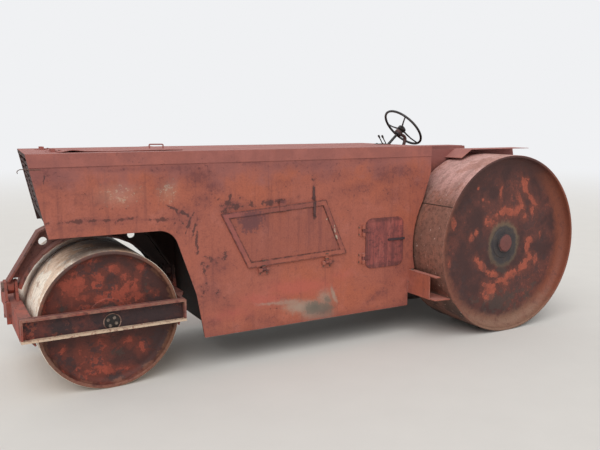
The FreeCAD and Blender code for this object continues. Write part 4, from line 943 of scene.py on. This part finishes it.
rearPanel = {"x": -2.3235, "y": (-0.325, -0.16, 0.0, 0.16, 0.325), "z": (0.545, 1.07), "sideZ": (0.72, 0.90),
             "hitchX": -2.344, "hitchY": (-0.085, 0.085), "hitchZ": (0.63, 0.70, 0.76)}
bolts("rearPanelBolts", "frame", boltSteel,
      [(product((rearPanel["hitchX"],), rearPanel["hitchY"], rearPanel["hitchZ"]), -alongX, bolt["hitch"]),
       (product((rearPanel["x"],), rearPanel["y"], rearPanel["z"]), -alongX, bolt["small"]),
       (product((rearPanel["x"],), rearPanel["y"][::4], rearPanel["sideZ"]), -alongX, bolt["small"])])
flangeBolts = {"x": (-0.995, -0.925), "y": (-0.126, -0.042), "z": 1.6862, "collar": 0.019, "collarZ": 1.6842,
               "angles": (0.8, 2.4, 3.9, 5.5)}
collar = [(foot.x + flangeBolts["collar"] * math.cos(t), flangeBolts["collar"] * math.sin(t), flangeBolts["collarZ"])
          for t in flangeBolts["angles"]]
bolts("hoodBolts", "frame", boltSteel,
      [(product(flangeBolts["x"], flangeBolts["y"], (flangeBolts["z"],)), upward, bolt["small"]),
       (collar, upward, bolt["screw"])])

yoke = {"low": 0.445, "high": 0.605, "corner": 0.572, "front": (2.355, 2.43), "rear": (1.313,), "bead": 0.0045,
        "ears": (2.364, 2.384, 2.441, 2.461), "earHalf": 0.095, "earFoot": 0.606, "web": 2.431, "webY": 0.111}
lines = [[(x, s * yoke["corner"], yoke["low"] + 0.005), (x, s * yoke["corner"], yoke["high"] - 0.005)]
         for end in ("front", "rear") for s in (-1, 1) for x in yoke[end]]
lines += [[(x, -yoke["earHalf"], yoke["earFoot"]), (x, yoke["earHalf"], yoke["earFoot"])] for x in yoke["ears"]]
lines += [[(yoke["web"], s * yoke["webY"], yoke["low"] + 0.01), (yoke["web"], s * yoke["webY"], yoke["high"] - 0.006)]
          for s in (-1, 1)]
beads("yokeWelds", "steering", yokePaint, lines, yoke["bead"])
lines = [[onAxle(axleEnd["ring"], s * axleEnd["ringFace"], t) for t in turns(36, 1)] for s in (-1, 1)]
beads("axleRings", "steering", wornRing, lines, axleEnd["bead"])
seam = {"left": 28.0, "right": 205.0, "y": (0.378, 0.922), "proud": 0.0005, "bead": 0.0035}
for side, name in sides:
    rim, turn = rearSize.x / 2 + seam["proud"], math.radians(seam[name])
    path = [(rearMiddle.x + rim * math.cos(turn), side * y, rearMiddle.z + rim * math.sin(turn)) for y in seam["y"]]
    beads("rearSeam" + name.title(), "rear_drum_" + name, castIron, [path], seam["bead"])
bracket = {"x": -0.8055, "y": 0.5525, "z": (0.382, 0.586), "bead": 0.004, "bolt": (-0.828, 0.585, 0.5905)}
lines = [[(bracket["x"], s * bracket["y"], z) for z in bracket["z"]] for s in (-1, 1)]
beads("bracketWelds", "frame", sidePaint, lines, bracket["bead"])
x, y, z = bracket["bolt"]
bolts("bracketBolt", "frame", paleSteel, [([(x, s * y, z) for s in (-1, 1)], upward, bolt["bracket"])])
print("bolts and welds")


# Straps at the hatch, the bent nose wire and worn rubber knobs over the levers' tips

strap = {"x": 0.172, "thick": 0.004, "edge": 0.0012}
straps = {  # y, half width, z from and to; its rivet's radius, y and z
    "strapLow": (0.5636, 0.011, 1.130, 1.250, 0.007, 0.5666, 1.15),
    "strapHigh": (0.5503, 0.010, 1.268, 1.372, 0.006, 0.5535, 1.35)}
for side, name in sides:
    for piece, (face, half, z0, z1, rivet, rivetY, rivetZ) in straps.items():
        low, high = sorted((side * face, side * (face + strap["thick"])))
        bm = bmesh.new()
        block(bm, (strap["x"] - half, low, z0), (strap["x"] + half, high, z1), strap["edge"])
        capped(bm, [(0, 0), (rivet, 0), (rivet - 0.0005, 0.004), (0, 0.005)],
               Vector((strap["x"], side * rivetY, rivetZ)), alongY * side, 14)
        body = "frame" if piece == "strapHigh" else "engine_hatch_" + name
        keep(bm, piece + name.title(), body, rustIron)
wire = {"points": ((2.235, 0.549, 1.577), (2.300, 0.552, 1.579), (2.365, 0.550, 1.584), (2.385, 0.546, 1.570),
                   (2.378, 0.540, 1.556)), "bend": 0.012, "radius": 0.0026}
bm = bmesh.new()
pipe(bm, wire["points"], wire["bend"], wire["radius"], 8)
keep(bm, "noseWire", "frame", boltSteel, sharp=60)
lever = {"x": -0.979, "y": (-0.110, -0.053), "z": 1.683, "lean": Vector((0.046, 0, 0.076)), "knobAt": 0.78}
bm = bmesh.new()
for y in lever["y"]:
    capped(bm, [(0, 0), (0.0085, 0, 0.002), (0.0100, 0.018, 0.004), (0.0088, 0.027, 0.005), (0, 0.029)],
           Vector((lever["x"], y, lever["z"])) + lever["lean"] * lever["knobAt"], lever["lean"], 16)
keep(bm, "leverKnobs", "frame", wheelPlastic)


# The hood lid, a bent plate with its left edge lifted here and there, and its grip

lid = {"x": (1.215, 2.095), "half": 0.410, "z": 1.6803, "thick": 0.004, "across": 24, "along": 60,
       "lift": ((1.215, 0.002), (1.325, 0.004), (1.525, 0.003), (1.745, 0.001), (1.900, 0.004), (2.005, 0.013),
                (2.095, 0.001)), "rearCorner": (1.40, 0.185, 0.004),
       "grip": (0.022, 0.130), "gripHigh": 0.030, "gripBend": 0.011, "gripRadius": 0.0052}
hinge = {"x": 2.110, "z": 1.692, "y": (-0.25, 0.25), "radius": 0.011, "half": 0.0148, "bore": 0.0061,
         "leaf": 2.050, "rivetX": 2.066}


def lidLift(x, y):  # the left edge is bent up in waves, the rear right corner a little
    for (x0, z0), (x1, z1) in zip(lid["lift"], lid["lift"][1:]):
        if x <= x1:
            share = (x - x0) / (x1 - x0)
            lift = z0 + (z1 - z0) * share * share * (3 - 2 * share)
            break
    start, reach, rise = lid["rearCorner"]
    edge, corner = max(y / lid["half"], 0) ** 3, max((start - x) / reach, 0) ** 2
    return lift * edge + rise * corner * max(-y / lid["half"], 0) ** 2


bm = bmesh.new()
across, along = lid["across"], lid["along"]
lidRear, lidFront = lid["x"]
low, high = [[[bm.verts.new((x, y, lid["z"] + z + lidLift(x, y)))
               for y in [lid["half"] * (2 * j / across - 1) for j in range(across + 1)]]
              for x in [lidRear + (lidFront - lidRear) * i / along for i in range(along + 1)]]
             for z in (0.0, lid["thick"])]
for grid in (low, high):
    for i, j in product(range(along), range(across)):
        bm.faces.new((grid[i][j], grid[i + 1][j], grid[i + 1][j + 1], grid[i][j + 1]))
for i, j in product(range(along), (0, across)):
    bm.faces.new((low[i][j], low[i + 1][j], high[i + 1][j], high[i][j]))
for j, i in product(range(across), (0, along)):
    bm.faces.new((low[i][j], low[i][j + 1], high[i][j + 1], high[i][j]))
top = lid["z"] + lid["thick"]
rearFoot, frontFoot = [lidRear + reach for reach in lid["grip"]]
pipe(bm, [(rearFoot, 0, top - 0.002), (rearFoot - 0.003, 0, top + lid["gripHigh"]),
          (frontFoot + 0.004, 0.002, top + lid["gripHigh"] + 0.001), (frontFoot, 0, top - 0.002)],
     lid["gripBend"], lid["gripRadius"], 12)
half, hingeX = hinge["half"], hinge["x"]
for y in hinge["y"]:
    path = rounded([(hinge["bore"], -half), (hinge["radius"], -half, 0.0015), (hinge["radius"], half, 0.0015),
                    (hinge["bore"], half)], 3)
    spun(bm, path, Vector((hingeX, y, hinge["z"])), alongY, 24)
    block(bm, (hinge["leaf"], y - half, top), (hingeX - 0.005, y + half, top + 0.0045), 0.001)
    block(bm, (hingeX - 0.014, y - half, top), (hingeX - 0.0075, y + half, hinge["z"]), 0.001)
keep(bm, "bentLid", "hood_lid", hoodPaint, "hood_lid", sharp=35)
rivets = product((hinge["rivetX"],), beside(hinge["y"], 0.008), (top + lid["thick"],))
bolts("lidRivets", "hood_lid", boltSteel, [(rivets, upward, bolt["rivet"])], 10)
print("hood lid")


# The seat: cushions blown up as cloth, with piped seams

seat = {"voxel": 0.0055, "pressure": 4.0, "quality": 4, "frames": 20, "spare": 0.004, "block": 0.014,
        "leather": (74, 34, 31), "faded": (98, 50, 44), "rubbed": (142, 112, 98), "crack": (40, 25, 22),
        "plate": (0.205, 0.02, 0.025, 0.006), "boltOut": 0.0190, "boltY": (-0.130, 0.130), "boltZ": (1.30, 1.42, 1.52)}
seatLeather, g = newMaterial("seatLeather")
place, split, facing = coordinates(g)
broad, fine = g.cloud(place, 9, 5, 0.6), g.cloud(place, 120, 3)
values = {"Vector": g.wobbled(place, 0.02, 30), "Scale": 55.0}
cracks = g.fade(g.node("TexVoronoi", {"feature": "DISTANCE_TO_EDGE"}, values), 0.05, 0.01)
cracks = cracks * g.fade(broad, 0.42, 0.62)
rubbed = g.fade(facing[2], 0.4, 1.0) * g.fade(g.cloud(place, 22, 5, 0.7), 0.4, 0.62) * 0.5
colour = g.over(tone(*seat["leather"]), (g.fade(broad, 0.35, 0.65), tone(*seat["faded"])),
                (rubbed, tone(*seat["rubbed"])), (cracks * 0.8, tone(*seat["crack"])))
surface(g, colour, fine * 0.2 + 0.48, fine * 0.4 - cracks * 1.2, 0.0012)
seatPiping = simple("seatPiping", (58, 30, 28), (84, 46, 40), 0.5, 40)


def evaluated(thing):
    return thing.evaluated_get(bpy.context.evaluated_depsgraph_get())


def blown(name, node, low, high, limit, keepSide):
    bm = bmesh.new()
    block(bm, low, high, seat["block"])
    thing = keep(bm, name, None, seatLeather, sharp=180)
    shrink = thing.modifiers.new("remesh", "REMESH")
    shrink.mode, shrink.voxel_size = "VOXEL", seat["voxel"]
    mesh = bpy.data.meshes.new_from_object(evaluated(thing))
    thing.modifiers.clear()
    thing.data = mesh
    start = [v.co.copy() for v in mesh.vertices]
    cloth = thing.modifiers.new("cloth", "CLOTH")
    cloth.settings.use_pressure = True
    cloth.settings.uniform_pressure_force = seat["pressure"]
    cloth.settings.effector_weights.gravity = 0.0
    cloth.settings.quality = seat["quality"]
    cloth.point_cache.frame_start, cloth.point_cache.frame_end = 1, seat["frames"]
    for step in range(1, seat["frames"] + 1):
        scene.frame_set(step)
    ended = [v.co.copy() for v in evaluated(thing).data.vertices]
    thing.modifiers.clear()
    scene.frame_set(1)
    for v, begun, reached in zip(mesh.vertices, start, ended):
        step = reached - begun
        v.co = begun + step * min(1.0, limit / max(step.length, 1e-6))
        v.co = Vector([min(max(c, a - seat["spare"]), b + seat["spare"]) for c, a, b in zip(v.co, *keepSide)])
    rounder = thing.modifiers.new("round", "SUBSURF")
    rounder.levels = rounder.render_levels = 1
    finer = bpy.data.meshes.new_from_object(evaluated(thing))
    thing.modifiers.clear()
    thing.data = finer
    thing.data.polygons.foreach_set("use_smooth", [True] * len(thing.data.polygons))
    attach(thing, "frame")
    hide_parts(node)
    return thing


def piping(name, cushion, centre, axes, size, radius):  # a cord where rays from outside meet the cushion
    bpy.context.view_layer.update()
    bm = bmesh.new()
    path = []
    for t in turns(72):
        c, s = math.cos(t), math.sin(t)
        reach = 1 / max((abs(c) ** 6 + abs(s) ** 6) ** (1 / 6), 1e-6)
        out = axes[0] * (c * reach * size[0]) + axes[1] * (s * reach * size[1])
        found, point, normal, _ = cushion.ray_cast(centre + out * 1.6, -out.normalized())
        if found:
            path.append(point + normal * radius * 0.3)
    tube(bm, path, radius, 8, closed=True)
    keep(bm, name, "frame", seatPiping, sharp=60)


low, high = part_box("seat_cushion")
pad = blown("seatCushion", "seat_cushion", low + Vector((0.006, 0.012, 0.001)),
            high - Vector((0.012, 0.012, 0.022)), 0.024, (low, high))
middle, half = (low + high) / 2, (high - low) / 2
for name, z, radius in (("seatPipe", high.z - 0.030, 0.0042), ("seatPipeLow", low.z + 0.016, 0.0036)):
    piping(name, pad, Vector((middle.x, middle.y, z)), (alongX, alongY), (half.x, half.y), radius)
low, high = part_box("seat_back")
rest = blown("seatBack", "seat_back", low + Vector((0.008, 0.012, 0.010)),
             high - Vector((0.012, 0.012, 0.014)), 0.014, (low, high))
middle, half = (low + high) / 2, (high - low) / 2
piping("backPipe", rest, Vector((high.x - 0.016, middle.y, middle.z)), (alongY, upward), (half.y, half.z), 0.004)
plateHalf, plateLow, plateTop, plateThick = seat["plate"]
bm = bmesh.new()
block(bm, (low.x - 0.0006, -plateHalf, low.z + plateLow), (low.x + plateThick, plateHalf, high.z - plateTop), 0.002)
keep(bm, "seatBackPlate", "frame", wallPaint)
places = product((low.x - seat["boltOut"],), seat["boltY"], seat["boltZ"])
bolts("seatBolts", "frame", boltSteel, [(places, -alongX, bolt["small"])])
print("seat")


# Radiator and grille

radiator = {"x": (2.045, 2.125), "middle": 2.085, "half": 0.420, "low": 1.224, "high": 1.626, "tank": 0.050,
            "strips": (-0.412, 0.400), "fin": 0.0085, "tube": 0.022}
x0, x1 = radiator["x"]
half, coreX, low, high = [radiator[key] for key in ("half", "middle", "low", "high")]
bm = bmesh.new()
for z in (low, high - radiator["tank"]):
    block(bm, (x0 - 0.010, -half, z), (x1 + 0.010, half, z + radiator["tank"]), 0.010)
for y in radiator["strips"]:
    block(bm, (x0 - 0.004, y, low + 0.045), (x1 + 0.004, y + 0.012, high - 0.045), 0.003)
capped(bm, [(0, 0), (0.026, 0), (0.026, 0.010, 0.002), (0.032, 0.010, 0.002), (0.032, 0.023, 0.004), (0, 0.025)],
       Vector((coreX, 0, high - 0.001)), upward)
block(bm, (x0 + 0.030, -0.398, low + 0.048), (x0 + 0.036, 0.398, high - 0.048), 0)
keep(bm, "radiatorTanks", "frame", blackPaint, "radiator")
coreLow, coreHigh = low + radiator["tank"], high - radiator["tank"]
grown("radiatorFins", slatTree, {
    "Count": int((coreHigh - coreLow) / radiator["fin"]), "Start": (coreX, -0.400, coreLow + 0.004),
    "Step": (0, 0, radiator["fin"]), "Run": (0, 0.800, 0), "Width": 0.078, "Height": 0.0012, "Tilt": 0.0,
    "Material": blackPaint}, "frame")
grown("radiatorTubes", slatTree, {
    "Count": int(0.79 / radiator["tube"]), "Start": (coreX, -0.388, coreLow - 0.002),
    "Step": (0, radiator["tube"], 0), "Run": (0, 0, coreHigh - coreLow + 0.004), "Width": 0.070,
    "Height": 0.0045, "Tilt": 0.0, "Material": castIron}, "frame")

grille = {"foot": (2.2396, 0, 1.240), "half": 0.537, "tall": 0.4413, "bar": 0.030, "post": 0.045,
          "deep": (-0.016, -0.004), "count": 9, "rake": 11.72, "skew": 4.16, "pivot": (0, 0.538, 0),
          "boltY": (-0.515, 0, 0.515), "boltZ": (0.016, 0.018)}
half, tall, bar, post, (d0, d1) = [grille[key] for key in ("half", "tall", "bar", "post", "deep")]
pivot = Matrix.Translation(grille["pivot"])
leaned = (Matrix.Translation(grille["foot"]) @ pivot @ Matrix.Rotation(-math.radians(grille["skew"]), 4, "Z")
          @ pivot.inverted() @ Matrix.Rotation(math.radians(grille["rake"]), 4, "Y"))
bm = bmesh.new()
for y0, y1, z0, z1 in ((-half, half, 0.002, bar), (-half, half, tall - bar, tall - 0.004),
                       (-half, post - half, 0.002, tall - 0.004), (half - post, half, 0.002, tall - 0.004),
                       (-0.0075, 0.0075, 0.01, tall - 0.01)):
    block(bm, (d0, y0, z0), (d1, y1, z1), 0.002)
bm.transform(leaned)
keep(bm, "grilleFrame", "frame", grilleIron, "grille")
pitch = (tall - 2 * bar) / (grille["count"] + 1)
grown("grilleSlats", slatTree, {
    "Count": grille["count"], "Start": (-0.0095, 0.02 - half, bar + pitch), "Step": (0, 0, pitch),
    "Run": (0, 2 * half - 0.04, 0), "Width": 0.0165, "Height": 0.0022, "Tilt": 1.05, "Material": grilleIron},
      "frame", turn=leaned)
lowBolt, highBolt = grille["boltZ"]
places = [leaned @ Vector(place) for place in product((d1,), grille["boltY"], (lowBolt, tall - highBolt))]
bolts("grilleBolts", "frame", boltSteel, [(places, leaned.to_3x3() @ alongX, bolt["small"])])
print("radiator and grille")


# The engine behind the hatches

engine = {
    "blocks": {  # x from and to, half width, z from and to, rounding
        "sump": (0.07, 0.76, 0.150, 0.50, 0.60, 0.025), "crankcase": (0.05, 0.80, 0.185, 0.595, 0.800, 0.018),
        "cylinders": (0.09, 0.78, 0.150, 0.795, 0.985, 0.012), "head": (0.085, 0.785, 0.158, 0.985, 1.070, 0.010),
        "cover": (0.11, 0.76, 0.105, 1.068, 1.150, 0.022), "rearFeet": (0.03, 0.13, 0.200, 0.485, 0.64, 0.012),
        "frontFeet": (0.70, 0.80, 0.200, 0.485, 0.64, 0.012)},
    "flywheel": (-0.023, 0, 0.735), "oilCap": (0.42, 0, 1.148), "filter": (0.645, 0.150, 0.86),
    "ports": (0.20, 0.36, 0.52, 0.68), "hotPipe": 0.032, "coolPipe": 0.028,
    "pulleyX": 0.815, "pulleys": ((0.0, 1.00, 0.075), (0.0, 0.66, 0.095), (0.150, 0.86, 0.052)),  # y, z, radius
    "beltX": 0.828, "belt": ((-0.075, 1.00), (-0.053, 1.053), (0, 1.075), (0.053, 1.053), (0.195, 0.89),
                             (0.200, 0.85), (0.190, 0.82), (0.090, 0.60), (0.05, 0.575), (0, 0.565),
                             (-0.06, 0.585), (-0.093, 0.64)),
    "fan": (0.8595, 0, 1.00), "fanBlade": (0.022, 0.03, 0.185, 0.28), "pump": ((0.28, 0.182, 0.70), (0.56, 0.235, 0.80)),
    "injectors": (0.315, 0.07, 0.21, 0.798), "cans": ((0.17, 0.225), (0.24, -0.225)),
    "headBolts": ((0.12, 0.24, 0.36, 0.48, 0.60, 0.74), (-0.135, 0.135), (1.0705,)), "housing": (0.032, 0.205, 0.735)}
ports = engine["ports"]
bm = bmesh.new()
for rearX, frontX, half, z0, z1, bevel in engine["blocks"].values():
    block(bm, (rearX, -half, z0), (frontX, half, z1), bevel)
capped(bm, [(0, 0), (0.215, 0, 0.02), (0.225, 0.05, 0.01), (0.21, 0.085, 0.01), (0.15, 0.10, 0.01), (0, 0.10)],
       Vector(engine["flywheel"]), alongX, 48)
capped(bm, [(0, 0), (0.02, 0, 0.002), (0.02, 0.018, 0.002), (0.05, 0.022, 0.004), (0.05, 0.034, 0.004), (0, 0.036)],
       Vector(engine["oilCap"]), upward, 24, 3)
for port in ports:
    pipe(bm, [(port, 0.150, 1.02), (port, 0.205, 1.02), (port, 0.212, 1.06)], 0.02, 0.024, 16)
    pipe(bm, [(port, -0.150, 1.02), (port, -0.200, 1.025)], 0.02, 0.020, 16)
pipe(bm, [(0.14, 0.214, 1.075), (0.72, 0.214, 1.075), (0.775, 0.214, 1.050), (0.790, 0.214, 0.98)], 0.03,
     engine["hotPipe"], 20)
pipe(bm, [(0.14, -0.212, 1.028), (0.74, -0.212, 1.028)], 0.03, engine["coolPipe"], 20)
keep(bm, "engineBlock", "frame", castIron, "engine")
bm = bmesh.new()
for y, z, radius in engine["pulleys"]:
    capped(bm, [(0, 0), (radius, 0, 0.003), (radius, 0.008, 0.002), (radius - 0.010, 0.013, 0.001),
                (radius, 0.018, 0.002), (radius, 0.026, 0.003), (radius * 0.4, 0.026, 0.004),
                (radius * 0.35, 0.034, 0.003), (0, 0.034)], Vector((engine["pulleyX"], y, z)), alongX, 36, 3)
tube(bm, [(engine["beltX"], y, z) for y, z in engine["belt"]], 0.006, 8, closed=True)
hub, (bladeHalf, bladeRoot, bladeTip, bladeTwist) = Vector(engine["fan"]), engine["fanBlade"]
for t in turns(6):
    made = block(bm, (hub.x - 0.0015, -bladeHalf, bladeRoot), (hub.x + 0.0015, bladeHalf, bladeTip), 0.001,
                 Matrix.Rotation(bladeTwist, 3, "Z"), Vector((hub.x, 0, 0.1)))
    for v in made:
        v.co = Matrix.Rotation(t, 3, "X") @ (v.co - Vector((hub.x, 0, 0))) + hub
capped(bm, [(0, -0.012), (0.045, -0.012), (0.045, 0.006), (0.02, 0.012), (0, 0.012)],
       hub - Vector((0.0015, 0, 0)), alongX, 24)
capped(bm, [(0, 0), (0.058, 0, 0.006), (0.058, 0.150, 0.006), (0.02, 0.155, 0.004), (0, 0.155)],
       Vector(engine["filter"]), alongX, 32)
keep(bm, "engineFront", "frame", blackPaint)
bm = bmesh.new()
block(bm, *engine["pump"], 0.010)
startX, pitch, pumpY, pumpTop = engine["injectors"]
for number, port in enumerate(ports):
    x = startX + pitch * number
    capped(bm, [(0, 0), (0.011, 0), (0.011, 0.03), (0.006, 0.034), (0.006, 0.05), (0, 0.05)],
           Vector((x, pumpY, pumpTop)), upward, 12)
    pipe(bm, [(x, pumpY, 0.845), (x, 0.205, 0.91), (port + 0.03, 0.172, 0.985)], 0.02, 0.0032, 8)
for x, y in engine["cans"]:
    capped(bm, [(0, 0), (0.038, 0, 0.008), (0.038, 0.130, 0.004), (0.042, 0.135, 0.002), (0.042, 0.150, 0.004),
                (0, 0.155)], Vector((x, y * 0.95, 0.64)), upward)
pipe(bm, [(0.60, -0.19, 0.62), (0.60, -0.235, 0.70), (0.45, -0.235, 0.74), (0.24, -0.22, 0.72)], 0.03, 0.006, 10)
keep(bm, "enginePump", "frame", axleSteel)
rearX, circle, crankZ = engine["housing"]
bolts("engineBolts", "frame", boltSteel, [
    (product(*engine["headBolts"]), upward, 0.009),
    ([(rearX, circle * math.cos(t), crankZ + circle * math.sin(t)) for t in turns(12)], -alongX, 0.008),
    (product(beside(ports, 0.038), (0.1505,), (1.025,)), alongY, 0.007)])
print("engine")


# The dash's dials and screws

dash = {"x": -1.0352, "dials": ((0.18, 1.53, 0.040), (0.07, 1.54, 0.030), (-0.10, 1.54, 0.030), (0.27, 1.53, 0.024)),
        "screwY": (-0.31, -0.16, 0.0, 0.16, 0.31), "screwZ": (1.60, 1.655)}
bm = bmesh.new()
for y, z, radius in dash["dials"]:
    capped(bm, [(0, 0), (radius, 0), (radius, 0.007, 0.002), (radius - 0.006, 0.008, 0.002),
                (radius - 0.008, 0.003, 0.001), (0, 0.003)], Vector((dash["x"], y, z)), -alongX, 28, 3)
keep(bm, "dials", "frame", blackPaint)
places = product((dash["x"],), dash["screwY"], dash["screwZ"])
bolts("dashScrews", "frame", boltSteel, [(places, -alongX, bolt["screw"])], 10)
print("small parts")


# Floor, light and camera

view = {"place": (2.8953, 5.2255, 1.8777), "turn": (81.42, 0, 150.95), "lens": 40.413, "sensor": 36, "far": 200}
light = {"sky": 0.72, "sun": 1.60, "sunTurn": (42, 0, 142), "softness": 50}
ground = {"reach": 45, "colour": (214, 211, 206), "behind": (240, 241, 243), "fades": (7, 26), "mottle": 0.97}

made, g = newMaterial("paleFloor")
place = g.node("TexCoord", out=3)
near = shader(g, g.over(tone(*ground["colour"]), (g.cloud(place, 3, 5), shade(ground["colour"], ground["mottle"]))), 0.9)
far = g.fade(g.vector("LENGTH", place, out=1), *ground["fades"]) * g.seen()
glow = g.node("Emission", {}, {"Color": tone(*ground["behind"]), "Strength": 1.0})
g.node("OutputMaterial", {}, {"Surface": g.node("MixShader", {}, {0: far, 1: near, 2: glow})})
floorMesh = bpy.data.meshes.new("floor")
reach = ground["reach"]
floorMesh.from_pydata([(-reach, -reach, 0), (reach, -reach, 0), (reach, reach, 0), (-reach, reach, 0)], [],
                      [(0, 1, 2, 3)])
floorMesh.materials.append(made)
floor = placed("floor", floorMesh)

world = bpy.data.worlds.new("softSky")
world.use_nodes = True
world.node_tree.nodes.clear()
scene.world = world
g = Graph(world.node_tree)
sky = g.node("Background", {}, {"Color": (1, 1, 1, 1), "Strength": light["sky"]})
behind = g.node("Background", {}, {"Color": tone(*ground["behind"]), "Strength": 1.0})
g.node("OutputWorld", {}, {"Surface": g.node("MixShader", {}, {0: g.seen(), 1: sky, 2: behind})})

lamp = bpy.data.lights.new("softSun", "SUN")
lamp.energy, lamp.angle = light["sun"], math.radians(light["softness"])
sun = placed("softSun", lamp)
sun.rotation_euler = [math.radians(a) for a in light["sunTurn"]]

lens = bpy.data.cameras.new("camera")
lens.lens, lens.sensor_width, lens.clip_end = view["lens"], view["sensor"], view["far"]
camera = placed("camera", lens)
camera.location = view["place"]
camera.rotation_euler = [math.radians(a) for a in view["turn"]]
scene.camera = camera
scene.view_settings.view_transform = "Standard"
print("floor, light and camera")
